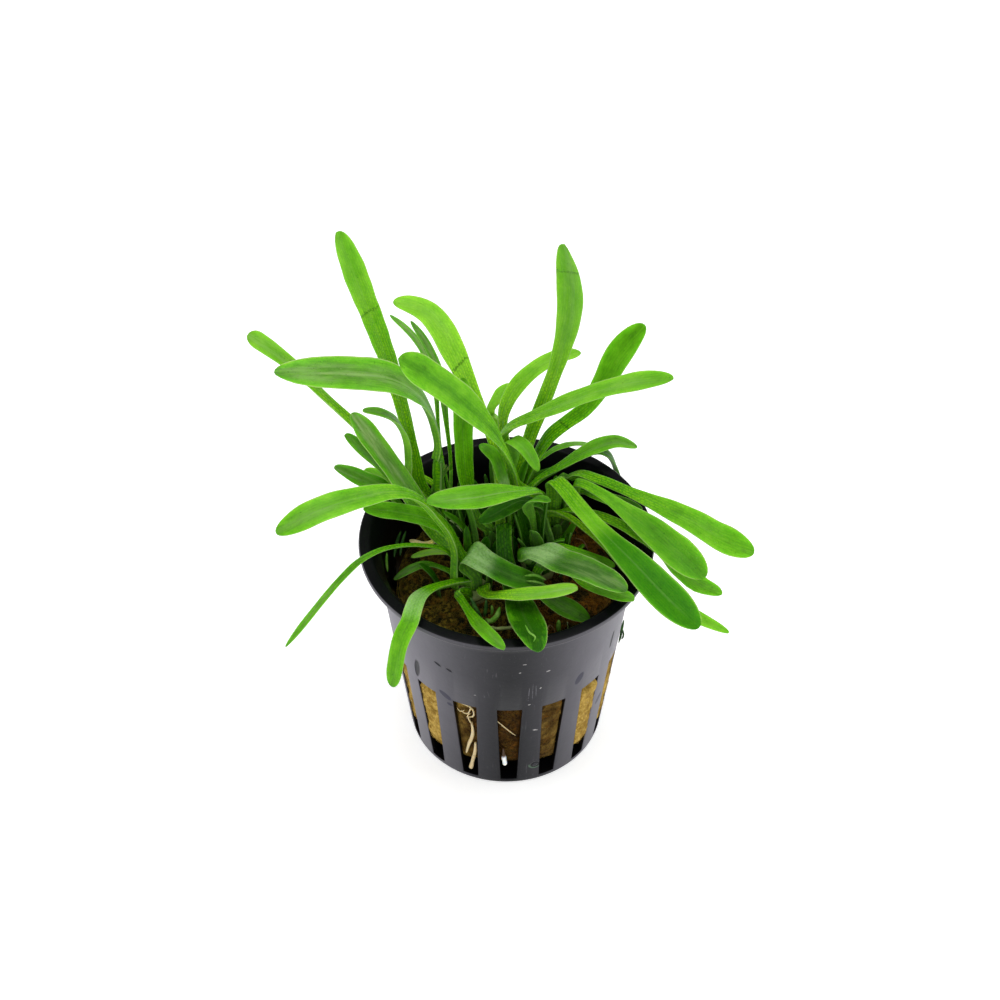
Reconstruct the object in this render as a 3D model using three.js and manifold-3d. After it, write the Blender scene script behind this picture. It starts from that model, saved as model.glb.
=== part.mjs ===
// Dwarf sagittaria growing in a slotted nursery pot: six leaf rosettes stand on short crowns in a
// plug of stone wool, and the plug stands in a thin black plastic pot with sixteen root slots.
// Millimetres, +Z up. The origin is the centre of the pot's base, and -Y is the front.
import * as THREE from "three";
import { mergeVertices } from "three/addons/utils/BufferGeometryUtils.js";
import Module from "manifold-3d";

const wasm = await Module();
wasm.setup();

// The pot
const POT_HEIGHT = 50;
const RIM_RADIUS = 27.5;
const MOUTH_RADIUS = 25.2;
const NECK_HEIGHT = 45.5;
const NECK_RADIUS = 24.2;
const BASE_RADIUS = 19.3;
const WALL = 1;
const FLOOR = 1.2;
const POT_SIDES = 32;

// Its slots
const SLOTS = 16;
const SLOT_TURN = 1.5;
const SLOT_LOW = 1.5;
const SLOT_HIGH = 25.9;
const SLOT_LOW_WIDTH = 3.1;
const SLOT_HIGH_WIDTH = 4.75;
const FLOOR_SLOTS = 8;
const FLOOR_SLOT_REACH = [6, 14];
const FLOOR_SLOT_WIDTH = 3;

// The stone wool plug
const WOOL_TOP = 41;
const WOOL_TOP_RADIUS = 19.8;
const WOOL_FOOT_RADIUS = 15.6;
const WOOL_GAP = 0.4;
const WOOL_SIDES = 22;
const GAP = 0.3;

// A rosette's crown
const CROWN_RADIUS = 3.6;
const CROWN_FOOT_RADIUS = 2.6;
const CROWN_DEPTH = 4;
const CROWN_RISE = 2.4;
const CROWN_SIDES = 10;
const SEAT_RADII = [1.35, 3.05];

const materials = {
  pot: new THREE.MeshStandardMaterial({ color: 0x3a383e, roughness: 0.4, metalness: 0 }),
  wool: new THREE.MeshStandardMaterial({ color: 0x6b4a1e, roughness: 0.95, metalness: 0 }),
  crown: new THREE.MeshStandardMaterial({ color: 0x9fb86a, roughness: 0.6, metalness: 0 }),
  leaf: new THREE.MeshStandardMaterial({ color: 0x4f9a22, roughness: 0.45, metalness: 0 }),
  root: new THREE.MeshStandardMaterial({ color: 0xd9c592, roughness: 0.7, metalness: 0 }),
};

const plant = new THREE.Group();

function add(name, geometry, material) {
  const mesh = new THREE.Mesh(geometry, material);
  mesh.name = name;
  plant.add(mesh);
  return mesh;
}

// A closed three.js geometry as a solid that can be cut, and back.
function toSolid(geometry) {
  const bare = geometry.clone();
  bare.deleteAttribute("normal");
  bare.deleteAttribute("uv");
  const merged = mergeVertices(bare, 1e-4);
  return new wasm.Manifold(
    new wasm.Mesh({
      numProp: 3,
      vertProperties: merged.getAttribute("position").array,
      triVerts: new Uint32Array(merged.index.array),
    }),
  );
}

function toGeometry(solid) {
  const mesh = solid.getMesh();
  const geometry = new THREE.BufferGeometry();
  geometry.setAttribute("position", new THREE.BufferAttribute(mesh.vertProperties, 3));
  geometry.setIndex(new THREE.BufferAttribute(mesh.triVerts, 1));
  geometry.computeVertexNormals();
  return geometry;
}

// A body of revolution about Z from [radius, height] points that start and end on the axis.
function turned(points, sides) {
  const profile = points.map(([radius, height]) => new THREE.Vector2(radius, height));
  return new THREE.LatheGeometry(profile, sides).rotateX(Math.PI / 2);
}

const onCircle = (radius, degrees, height) =>
  new THREE.Vector3(
    radius * Math.cos(THREE.MathUtils.degToRad(degrees)),
    radius * Math.sin(THREE.MathUtils.degToRad(degrees)),
    height,
  );

// Inner and outer radius of the straight, tapering part of the pot's wall.
const wallRadius = (height) =>
  THREE.MathUtils.lerp(BASE_RADIUS, NECK_RADIUS, height / NECK_HEIGHT);
const innerRadius = (height) => wallRadius(height) - WALL;

// The pot is one moulding: a tapering cup whose mouth flares out to a flat lip.
function potBlank() {
  const flare = RIM_RADIUS - NECK_RADIUS;
  return turned(
    [
      [0, 0],
      [BASE_RADIUS - 0.8, 0],
      [BASE_RADIUS, 0.8],
      [NECK_RADIUS, NECK_HEIGHT],
      [NECK_RADIUS + 0.3 * flare, NECK_HEIGHT + 1.8],
      [NECK_RADIUS + 0.8 * flare, NECK_HEIGHT + 2.9],
      [RIM_RADIUS, NECK_HEIGHT + 3.6],
      [RIM_RADIUS, POT_HEIGHT - 0.3],
      [RIM_RADIUS - 0.3, POT_HEIGHT],
      [MOUTH_RADIUS, POT_HEIGHT],
      [NECK_RADIUS - WALL + 0.4, NECK_HEIGHT + 1.6],
      [NECK_RADIUS - WALL, NECK_HEIGHT],
      [innerRadius(FLOOR), FLOOR],
      [0, FLOOR],
    ],
    POT_SIDES,
  );
}

// A cutter that points along +X at the height of the slots, wider at the top than at the bottom.
function slotCutter() {
  const outline = new THREE.Shape([
    new THREE.Vector2(-SLOT_LOW_WIDTH / 2, SLOT_LOW),
    new THREE.Vector2(SLOT_LOW_WIDTH / 2, SLOT_LOW),
    new THREE.Vector2(SLOT_HIGH_WIDTH / 2, SLOT_HIGH),
    new THREE.Vector2(-SLOT_HIGH_WIDTH / 2, SLOT_HIGH),
  ]);
  const reach = RIM_RADIUS - WOOL_FOOT_RADIUS;
  return new THREE.ExtrudeGeometry(outline, { depth: reach, bevelEnabled: false })
    .rotateX(Math.PI / 2)
    .rotateZ(Math.PI / 2)
    .translate(WOOL_FOOT_RADIUS, 0, 0);
}

function pot() {
  let body = toSolid(potBlank());
  const slot = slotCutter();
  for (let i = 0; i < SLOTS; i += 1) {
    const turn = THREE.MathUtils.degToRad(SLOT_TURN - 90 + (360 / SLOTS) * i);
    body = body.subtract(toSolid(slot.clone().rotateZ(turn)));
  }
  const [near, far] = FLOOR_SLOT_REACH;
  const floorSlot = new THREE.BoxGeometry(far - near, FLOOR_SLOT_WIDTH, 4 * FLOOR);
  floorSlot.translate((near + far) / 2, 0, 0);
  for (let i = 0; i < FLOOR_SLOTS; i += 1) {
    const turn = THREE.MathUtils.degToRad(SLOT_TURN - 90 + (360 / FLOOR_SLOTS) * i);
    body = body.subtract(toSolid(floorSlot.clone().rotateZ(turn)));
  }
  add("pot", toGeometry(body), materials.pot);
}

// Crowns: where each rosette stands, and the height of the flat top that its leaves grow from.
const CROWNS = {
  front: { x: -6.5, y: -6, top: 43 },
  left: { x: -12, y: 10, top: 44 },
  middle: { x: -2, y: 4, top: 44 },
  centre: { x: 6, y: 0, top: 44 },
  right: { x: 8.5, y: 11.5, top: 44 },
  rear: { x: 0.5, y: 15, top: 44 },
};

function crownBlank({ x, y, top }, grow) {
  const blank = turned(
    [
      [0, top - CROWN_DEPTH - CROWN_RISE - grow],
      [CROWN_FOOT_RADIUS + grow, top - CROWN_DEPTH - CROWN_RISE - grow],
      [CROWN_RADIUS + grow, top - CROWN_RISE],
      [CROWN_RADIUS + grow, top - 0.5],
      [CROWN_RADIUS - 0.5 + grow, top + grow],
      [0, top + grow],
    ],
    CROWN_SIDES,
  );
  return blank.translate(x, y, 0);
}

// The plug: it fills the pot to the wall, is rounded at its foot and shoulder, and its top is uneven.
function woolBlank() {
  const rows = [
    [WOOL_FOOT_RADIUS, FLOOR + GAP],
    [WOOL_FOOT_RADIUS + 2, 4.5],
    [innerRadius(10) - WOOL_GAP, 10],
    [innerRadius(19) - WOOL_GAP, 19],
    [innerRadius(29) - WOOL_GAP, 29],
    [innerRadius(36) - WOOL_GAP - 0.3, 36],
    [WOOL_TOP_RADIUS, WOOL_TOP - 0.8],
    [WOOL_TOP_RADIUS - 3, WOOL_TOP],
    [WOOL_TOP_RADIUS - 9, WOOL_TOP],
  ];
  const profile = [[0, FLOOR + GAP], ...rows, [0, WOOL_TOP]];
  const blank = turned(profile, WOOL_SIDES);
  const place = blank.getAttribute("position");
  for (let i = 0; i < place.count; i += 1) {
    const [x, y, z] = [place.getX(i), place.getY(i), place.getZ(i)];
    const turn = Math.atan2(y, x);
    const radius = Math.hypot(x, y);
    if (z > 34) {
      const lump = Math.sin(3 * turn + 0.7) * Math.sin(radius * 0.35) + 0.6 * Math.sin(7 * turn + radius);
      place.setZ(i, z + 0.7 * lump * Math.min(1, (z - 34) / 6) * Math.min(1, radius / 3));
    }
    if (z > 4 && z < 34) {
      const dent = 1 - 0.012 * (1 + Math.sin(5 * turn + z * 0.4)) - 0.008 * (1 + Math.sin(11 * turn - z));
      place.setX(i, x * dent);
      place.setY(i, y * dent);
    }
  }
  return blank;
}

function wool() {
  let body = toSolid(woolBlank());
  for (const crown of Object.values(CROWNS)) {
    body = body.subtract(toSolid(crownBlank(crown, GAP)));
  }
  add("stone_wool", toGeometry(body), materials.wool);
}

function crowns() {
  for (const [name, crown] of Object.entries(CROWNS)) {
    add("crown_" + name, crownBlank(crown, 0), materials.crown);
  }
}

// Half widths and heights of a leaf's six-sided section, as shares of its width and thickness:
// thin edges, a shallow channel above and a rounded keel below.
const SECTION = [
  [-0.5, 0.0],
  [-0.24, 0.3],
  [0.24, 0.3],
  [0.5, 0.0],
  [0.26, -0.7],
  [-0.26, -0.7],
];
const STEM_SHARE = 0.42;
const STEM_THICKNESS = 1.4;
const BLADE_THICKNESS = 0.9;
const RING_SPACING = 10;
const RING_TURN = 36;

// Places along a leaf's line for its rings: closer together where the line bends.
function ringPlaces(curve, reach) {
  const samples = 80;
  const effort = [0];
  for (let i = 1; i <= samples; i += 1) {
    const [before, after] = [curve.getTangentAt((i - 1) / samples), curve.getTangentAt(i / samples)];
    const bend = THREE.MathUtils.radToDeg(before.angleTo(after));
    effort.push(effort[i - 1] + curve.getLength() / samples / RING_SPACING + bend / RING_TURN);
  }
  const rings = Math.max(5, Math.round(effort[samples]));
  const places = [];
  for (let ring = 0; ring <= rings; ring += 1) {
    const wanted = (effort[samples] * ring) / rings;
    const next = Math.max(1, effort.findIndex((value) => value >= wanted - 1e-9));
    const share = (wanted - effort[next - 1]) / (effort[next] - effort[next - 1]);
    places.push((reach * (next - 1 + share)) / samples);
  }
  return places;
}

// One strap leaf: it grows up out of its crown and then runs through the points of its own line.
// seat is the direction of its foot about the crown, inner the closer ring of feet, and rise the
// height of its upright foot. width is the blade at its widest and stem the share of it that the stalk
// has: the leaf begins to widen at the share start of its length and is widest at the share full. roll
// turns the blade about its line, cup lifts its edges, and blunt is the length of its rounded tip in
// widths.
function leaf(row) {
  const { name, crown, seat, width, line, rise = 3, roll = 0, cup = 0.06, blunt = 1.2 } = row;
  const { inner = false, stem = STEM_SHARE, start = 0.3, full = 0.75 } = row;
  const { x, y, top } = CROWNS[crown];
  const points = line.map((p) => new THREE.Vector3(...p));
  const tip = points[points.length - 1];
  const foot = onCircle(SEAT_RADII[inner ? 0 : 1], seat, top + GAP).add(new THREE.Vector3(x, y, 0));
  const neck = foot.clone().add(new THREE.Vector3(0, 0, rise));
  const curve = new THREE.CatmullRomCurve3([foot, neck, ...points], false, "centripetal");
  const acrossFoot = onCircle(1, seat + 90, 0);
  const acrossTip = new THREE.Vector3(y - tip.y, tip.x - x, 0).normalize();
  if (acrossTip.dot(acrossFoot) < 0) acrossFoot.negate();

  const round = Math.min(0.3, (blunt * width) / curve.getLength());
  const places = ringPlaces(curve, 1 - round);
  places.push(1 - 0.45 * round, 1 - 0.12 * round);
  const position = [];
  for (const t of places) {
    const centre = curve.getPointAt(t);
    const along = curve.getTangentAt(t);
    const side = acrossFoot.clone().lerp(acrossTip, THREE.MathUtils.smoothstep(t, 0.08, 0.4));
    side.addScaledVector(along, -side.dot(along)).normalize();
    side.applyAxisAngle(along, THREE.MathUtils.degToRad(roll) * THREE.MathUtils.smoothstep(t, 0.1, 0.7));
    const face = new THREE.Vector3().crossVectors(along, side);
    const swell = THREE.MathUtils.smoothstep(t, start, full);
    const rounding = Math.sqrt(1 - Math.max(0, (t - 1 + round) / round) ** 2);
    const across = width * THREE.MathUtils.lerp(stem, 1, swell) * rounding;
    const thickness = THREE.MathUtils.lerp(
      Math.min(STEM_THICKNESS, 0.45 * width),
      Math.min(BLADE_THICKNESS, 0.4 * width),
      swell,
    );
    const thick = thickness * (0.4 + 0.6 * rounding);
    for (const [u, v] of SECTION) {
      const lift = v * thick + 4 * cup * u * u * across;
      const corner = centre.clone().addScaledVector(side, u * across).addScaledVector(face, lift);
      position.push(...corner.toArray());
    }
  }
  position.push(...foot.toArray(), ...tip.toArray());
  add("leaf_" + name, sleeve(position, places.length), materials.leaf);
}

// The closed skin over rings of six corners, with one point in the middle of each end.
function sleeve(position, rings) {
  const sides = SECTION.length;
  const [start, finish] = [rings * sides, rings * sides + 1];
  const index = [];
  for (let i = 0; i < sides; i += 1) {
    const next = (i + 1) % sides;
    index.push(start, i, next);
    for (let ring = 0; ring + 1 < rings; ring += 1) {
      const [a, b] = [ring * sides + i, ring * sides + next];
      index.push(a, b + sides, b, a, a + sides, b + sides);
    }
    const last = (rings - 1) * sides;
    index.push(last + next, last + i, finish);
  }
  const geometry = new THREE.BufferGeometry();
  geometry.setAttribute("position", new THREE.Float32BufferAttribute(position, 3));
  geometry.setIndex(index);
  geometry.computeVertexNormals();
  return geometry;
}

// Every leaf, rosette by rosette. line holds points on the middle of the leaf, from its foot outwards.
const LEAVES = [
  // the rosette at the front
  {
    name: "front_long_left", crown: "front", seat: 112, width: 4.7, stem: 0.5, start: 0.05, full: 0.5,
    line: [[-12, 1, 48], [-15.5, 2.5, 53], [-18.5, 4, 58.5], [-23.5, 7, 65.5], [-28.1, 8.5, 72.8]],
  },
  {
    name: "front_bent", crown: "front", seat: 325, inner: true, width: 5.6, stem: 0.55, start: 0.1,
    full: 0.5,
    line: [[-7.5, -6.5, 49.5], [-6, -8.5, 54], [-3, -9.5, 51.5], [2, -10.5, 49.5], [7, -11, 48]],
  },
  {
    name: "front_big_left", crown: "front", seat: 190, width: 4.9, stem: 0.45, start: 0.45,
    full: 0.8, roll: -15, blunt: 1.4,
    line: [
      [-9.5, -5, 52.5], [-12.5, -6, 61], [-15.5, -7.5, 67], [-19.5, -10.5, 71.5], [-25, -14.5, 74],
      [-31.5, -18.5, 75], [-39, -21.5, 72.5],
    ],
  },
  {
    name: "front_under_left", crown: "front", seat: 135, inner: true, width: 4.2, stem: 0.42,
    start: 0.1, full: 0.5,
    line: [[-12, -1, 53.5], [-17.5, -2, 57.5], [-26, -2.5, 59.5]],
  },
  {
    name: "front_thin_left", crown: "front", seat: 144, width: 1.6, stem: 0.6, blunt: 5,
    line: [
      [-11, -3.5, 49.5], [-15, -4.5, 52], [-21.5, -8, 55], [-26.5, -12, 55.5], [-30.5, -17, 54.5],
      [-39, -26, 48.5],
    ],
  },
  {
    name: "front_inner_left", crown: "front", seat: 160, rise: 1, width: 2.2, blunt: 2,
    line: [[-14.5, -3, 45.5], [-18, -4.3, 45.3], [-21, -5.3, 43.7]],
  },
  {
    name: "front_over_rim", crown: "front", seat: 245, inner: true, rise: 2, width: 3.4, stem: 0.5,
    start: 0.2, full: 0.6,
    line: [
      [-11.5, -10, 47.5], [-15, -15.5, 51], [-16.2, -19, 52.3], [-17, -22.5, 51.5],
      [-18.5, -25, 49.5], [-20.5, -28, 40],
    ],
  },
  {
    name: "front_small", crown: "front", seat: 262, rise: 1, width: 2.9, stem: 0.5, start: 0.2,
    full: 0.6, blunt: 1.6,
    line: [[-9, -10.5, 46], [-7.5, -13.5, 45.5], [-5.5, -19, 47.5], [-3, -26.5, 52], [-0.5, -30, 52.5]],
  },
  {
    name: "front_level", crown: "front", seat: 318, rise: 1.5, width: 4.2, stem: 0.5, start: 0.2,
    full: 0.7, blunt: 0.9,
    line: [[-4, -10.5, 45.5], [0, -14.5, 49.5], [6, -17, 52.5], [12.5, -18.5, 55.5]],
  },
  {
    name: "front_pale", crown: "front", seat: 75, rise: 1, width: 1.8, stem: 0.36, blunt: 1.5,
    line: [[-8.6, 0.4, 44], [-13.5, 2.2, 43.4], [-18, 1, 43.2]],
  },
  // the rosette at the left
  {
    name: "left_tall", crown: "left", seat: 125, width: 6.2, stem: 0.44, start: 0.05, full: 1,
    line: [[-15.5, 12, 49], [-18.5, 13.5, 64.5], [-21.1, 15, 77.5], [-24.3, 17, 88.5], [-29.4, 20, 104.5]],
  },
  {
    name: "left_hooked", crown: "left", seat: 215, inner: true, width: 3.2, stem: 0.7,
    line: [
      [-15.5, 8.5, 52], [-18, 8.5, 56], [-18, 8, 63], [-18.5, 7, 69], [-20, 5.5, 74],
      [-22.5, 4.5, 76.5], [-25.5, 4, 77.5],
    ],
  },
  {
    name: "left_level", crown: "left", seat: 310, inner: true, width: 7.1, stem: 0.38, start: 0.36,
    full: 0.7, roll: -20, blunt: 2,
    line: [
      [-12.5, 9, 55.5], [-12.5, 8.5, 66.5], [-14, 7.2, 75], [-16.4, 5.8, 80.3], [-19.6, 4.5, 84.1],
      [-25.5, 2.5, 87], [-32, 0.5, 89], [-39.5, -1.5, 91],
    ],
  },
  {
    name: "left_far", crown: "left", seat: 176, width: 4.8, stem: 0.47, start: 0.66, full: 0.98,
    blunt: 0.45,
    line: [
      [-18, 8.5, 52.3], [-23.5, 12.5, 60.5], [-30, 15, 66.5], [-36, 17, 72.5], [-41.5, 18.5, 78],
      [-47, 19.5, 82],
    ],
  },
  {
    name: "left_behind", crown: "left", seat: 214, rise: 1.5, width: 3.8,
    line: [[-17, 9.2, 47.7], [-22.5, 11.5, 55], [-26.5, 12, 60], [-30, 12.5, 64]],
  },
  {
    name: "left_dark", crown: "left", seat: 248, rise: 1.5, width: 4.8, stem: 0.38, start: 0.4,
    full: 0.6,
    line: [[-15, 6.5, 46.8], [-18.5, 7.5, 48.5], [-23, 8.5, 54], [-27.5, 8.5, 56.5], [-32, 8.5, 59.5]],
  },
  {
    name: "left_light", crown: "left", seat: 82, rise: 1.5, width: 4.2, stem: 0.3,
    line: [[-14.5, 16, 48.5], [-18.5, 14.9, 51], [-21, 12.5, 51.5], [-27, 13.5, 54]],
  },
  {
    name: "left_thin_tall", crown: "left", seat: 50, inner: true, width: 1.6, blunt: 4,
    line: [[-10.5, 13.5, 53], [-11.5, 16.5, 66.5], [-12.5, 19, 74], [-15, 21, 79.5], [-17.5, 23, 82.5]],
  },
  {
    name: "left_thin_back", crown: "left", seat: 65, width: 1.4, stem: 0.4, blunt: 4,
    line: [[-12.5, 17, 56], [-14, 21, 73], [-17.5, 24, 78.5], [-21.5, 26, 81.5]],
  },
  {
    name: "left_yellow", crown: "left", seat: 287, rise: 1, width: 2.4,
    line: [[-13, 5.2, 44], [-15.5, 4, 43.4], [-18.5, 5.5, 43.2]],
  },
  // the rosette in the middle
  {
    name: "middle_upright", crown: "middle", seat: 170, inner: true, width: 5, stem: 0.6,
    line: [[-5.5, 4.5, 49.5], [-7.5, 5, 59.5], [-8, 6.5, 68.5], [-8, 8, 75.5], [-8, 10, 80]],
  },
  {
    name: "middle_tall", crown: "middle", seat: 50, inner: true, width: 5.4, stem: 0.46, start: 0.45,
    full: 0.8,
    line: [
      [-2, 9, 63.5], [-4.8, 11, 71], [-8, 14, 78], [-10.6, 17, 82.3], [-13, 20, 85.2],
      [-16.3, 22, 86.4], [-20.5, 23, 87],
    ],
  },
  {
    name: "middle_drooping", crown: "middle", seat: 290, inner: true, width: 6, stem: 0.5,
    start: 0.3, full: 0.75,
    line: [
      [-0.5, 0, 52.5], [-0.5, -2.5, 50.5], [0, -5.5, 48], [1.5, -10.5, 46.5], [3, -19.5, 49.5],
      [4.5, -27, 53], [5.5, -31, 53],
    ],
  },
  {
    name: "middle_curved", crown: "middle", seat: 10, width: 2.6,
    line: [[0.5, 4.5, 55], [-1, 5, 61], [-2.5, 6, 65], [-5, 7, 66.5]],
  },
  // the rosette between the front and the right
  {
    name: "centre_glossy", crown: "centre", seat: 246, rise: 1.5, width: 6.4, stem: 0.42,
    start: 0.05, full: 0.4, blunt: 1.5,
    line: [[3.5, -3.5, 48], [5, -6.5, 52.5], [9.5, -10.5, 54], [15.5, -15.5, 56], [21, -20, 56.5]],
  },
  {
    name: "centre_dark_front", crown: "centre", seat: 287, rise: 1.5, width: 4.4, stem: 0.35,
    line: [[5, -8.5, 46], [9, -13.5, 46.5], [14.9, -17.8, 46.2]],
  },
  {
    name: "centre_under", crown: "centre", seat: 316, rise: 1.5, width: 3.5,
    line: [[15, -12, 49.5], [22.5, -19, 53]],
  },
  {
    name: "centre_thin", crown: "centre", seat: 345, width: 2.2,
    line: [[10, -2, 49.5], [15.5, -4, 48.5], [20, -6, 48]],
  },
  {
    name: "centre_dark_tip", crown: "centre", seat: 40, width: 4,
    line: [[7.5, 3, 50], [6.5, 3.5, 54], [2.5, 2, 57], [-1.5, -1, 57], [-5, -3, 56.5]],
  },
  {
    name: "centre_hooked", crown: "centre", seat: 130, inner: true, width: 2.6,
    line: [[5, 1, 53], [4, -0.5, 58.5], [5.5, -2, 61.5], [8, -2.5, 61.5]],
  },
  // the rosette at the right
  {
    name: "right_arching", crown: "right", seat: 155, inner: true, width: 5.8, stem: 0.38,
    full: 0.75, roll: -55,
    line: [
      [2.5, 8, 55], [1, 6.5, 62], [-1.5, 4.5, 70], [-5, 2, 78], [-10, -1, 86.5], [-14, -3, 92],
      [-18, -5, 97],
    ],
  },
  {
    name: "right_long", crown: "right", seat: 290, inner: true, width: 7.4, stem: 0.45, start: 0.45,
    full: 0.82,
    line: [
      [9.2, 9.6, 52], [8.9, 8.2, 56.4], [10.8, 5.6, 56.5], [13, 3.5, 54.7], [17.5, -2.5, 53.5],
      [22, -9, 53.5], [27.5, -16, 52], [34, -22.5, 49.5],
    ],
  },
  {
    name: "right_level", crown: "right", seat: 222, width: 5.6, stem: 0.3, start: 0.35, full: 0.75,
    roll: -15, blunt: 1.8,
    line: [[6, 5, 56.5], [3.5, 1.5, 60], [-0.5, -2, 63], [-6.5, -6, 65.5], [-14, -10, 68.5]],
  },
  {
    name: "right_low", crown: "right", seat: 257, width: 3.2, blunt: 4,
    line: [[11, 5.5, 50], [18, -3, 50.6], [23.5, -12, 51.4], [30, -17.5, 50], [40, -20, 45.5]],
  },
  {
    name: "right_side", crown: "right", seat: 292, width: 5.4, start: 0.4, full: 0.8, blunt: 1.8,
    line: [
      [13, 7, 49.5], [19, 3, 51.3], [24.5, -1.5, 51.7], [29, -5, 51.4], [34.5, -9, 47],
      [39.5, -11, 46],
    ],
  },
  {
    name: "right_broad", crown: "right", seat: 350, width: 6.6, stem: 0.34, start: 0.35, full: 0.85,
    roll: 15,
    line: [
      [13.2, 10.5, 52], [13, 9.5, 54.5], [16, 7, 55.5], [21, 3, 54.5], [26.5, -2.5, 54],
      [31.5, -9, 54], [35.5, -14, 53.5],
    ],
  },
  {
    name: "right_short", crown: "right", seat: 38, width: 3.4,
    line: [[13.8, 13.5, 48.5], [18, 10, 50.3], [25.5, 5.5, 51]],
  },
  {
    name: "right_far", crown: "right", seat: 78, width: 6, stem: 0.4, start: 0.4, full: 0.85, roll: 15,
    line: [
      [11.2, 14.6, 51.5], [16, 12.5, 53], [21.5, 9.5, 53], [27, 6.5, 52.5], [34.5, 4, 50],
      [40.5, 1, 48], [46.5, 0, 45.5],
    ],
  },
  // the rosette at the rear
  {
    name: "rear_long_right", crown: "rear", seat: 270, inner: true, width: 4.4, stem: 0.6, full: 0.7,
    roll: 15, blunt: 1.8,
    line: [
      [-2, 13, 59], [-1, 12.5, 64], [1.5, 12, 67], [6.5, 10.5, 71], [11, 9.5, 74.5], [16.5, 8, 78.5],
      [23.5, 6, 82.5], [29, 4, 85],
    ],
  },
  {
    name: "rear_tall", crown: "rear", seat: 30, inner: true, width: 6.8, stem: 0.5, start: 0.5,
    full: 0.85, blunt: 1.3,
    line: [
      [3.5, 17, 54.5], [5, 18, 60], [7.5, 19, 68], [10, 20.5, 76.5], [11.5, 22, 84.5],
      [11.5, 23, 92], [10, 24, 99],
    ],
  },
  {
    name: "rear_arched", crown: "rear", seat: 140, inner: true, width: 3.8, stem: 0.6,
    line: [
      [0, 18, 55], [-0.5, 19.5, 62.5], [1.5, 21, 67.5], [5, 23, 70.5], [9, 25.5, 71.5], [14, 28, 71],
    ],
  },
  {
    name: "rear_upper_right", crown: "rear", seat: 0, width: 6.4, stem: 0.5, start: 0.5, full: 0.9,
    roll: 15,
    line: [
      [5.5, 16.5, 53.5], [9, 17, 60.5], [14.5, 18, 65], [18, 20.5, 69.5], [21.5, 23, 75.5],
      [25.5, 25, 80],
    ],
  },
  {
    name: "rear_over_rim", crown: "rear", seat: 48, width: 2.8, stem: 0.55,
    line: [[10.5, 18.5, 50], [15, 19.5, 52.5], [18.5, 20.5, 52.5], [21, 20.5, 49], [22.5, 20, 44]],
  },
  {
    name: "rear_thin", crown: "rear", seat: 72, width: 1.5, stem: 0.36,
    line: [[6, 18, 52], [9.5, 20, 53.5], [13.5, 23, 52], [16.5, 25, 50]],
  },
  {
    name: "rear_light", crown: "rear", seat: 120, width: 2.6,
    line: [[-2, 20.5, 58], [-2.5, 23, 62], [1, 27, 64]],
  },
  {
    name: "rear_short", crown: "rear", seat: 232, width: 3, blunt: 2,
    line: [[-1.2, 11.5, 52], [1.6, 10.5, 59.3], [1, 10, 65.5], [3.5, 8, 64.5], [6, 7, 60]],
  },
  {
    name: "rear_medium", crown: "rear", seat: 300, width: 3.8,
    line: [[7.5, 14, 52.5], [11, 14.5, 54.5], [16, 16, 57], [20.5, 17.5, 57.5], [25, 18.5, 55.5]],
  },
];

// Roots hang between the wool and the wall in the slots: each runs through [sideways, height] points
// measured from the middle of its slot.
const ROOT_INSET = 0.7;
const TUBE_SIDES = 5;
const ROOTS = [
  {
    name: "curled", slot: -1, radius: 0.26,
    line: [[-0.8, 25], [0.9, 24.6], [1.5, 23.2], [1.2, 21.6], [-0.2, 20.8]],
  },
  {
    name: "thick_upper", slot: -1, radius: 0.45,
    line: [[0.9, 19.4], [0.9, 15.5], [-0.2, 11], [-0.9, 7.6]],
  },
  {
    name: "thick_lower", slot: -1, radius: 0.5,
    line: [[1.3, 12.6], [1.1, 9.6], [0.4, 5.8], [-0.2, 2.6]],
  },
  {
    name: "front_tip", slot: 0, radius: 0.5,
    line: [[-1.1, 11.8], [-1, 8.9], [-0.7, 5.8]],
  },
];

function tube(points, radius) {
  const path = new THREE.CatmullRomCurve3(points, false, "centripetal");
  const corners = [];
  for (let i = 0; i < TUBE_SIDES; i += 1) {
    const angle = (2 * Math.PI * i) / TUBE_SIDES;
    corners.push(new THREE.Vector2(radius * Math.cos(angle), radius * Math.sin(angle)));
  }
  return new THREE.ExtrudeGeometry(new THREE.Shape(corners), {
    steps: 2 * (points.length - 1),
    extrudePath: path,
    bevelEnabled: false,
  });
}

function roots() {
  for (const { name, slot, radius, line } of ROOTS) {
    const middle = SLOT_TURN - 90 + (360 / SLOTS) * slot;
    const points = line.map(([sideways, height]) => {
      const out = wallRadius(height) - ROOT_INSET;
      return onCircle(out, middle + THREE.MathUtils.radToDeg(sideways / out), height);
    });
    add("root_" + name, tube(points, radius), materials.root);
  }
}

// A cut piece of old stem lies across the wool at the front.
function oldStem() {
  const points = [[-5.5, -15.5, 42.9], [-2, -16.8, 43], [1.5, -16.3, 42.9]];
  add("old_stem", tube(points.map((p) => new THREE.Vector3(...p)), 0.4), materials.root);
}

pot();
wool();
crowns();
LEAVES.forEach(leaf);
roots();
oldStem();

export default plant;
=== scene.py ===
import math
import random

import bmesh
import bpy
import numpy as np
from mathutils import Matrix, Vector, bvhtree, noise


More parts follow.
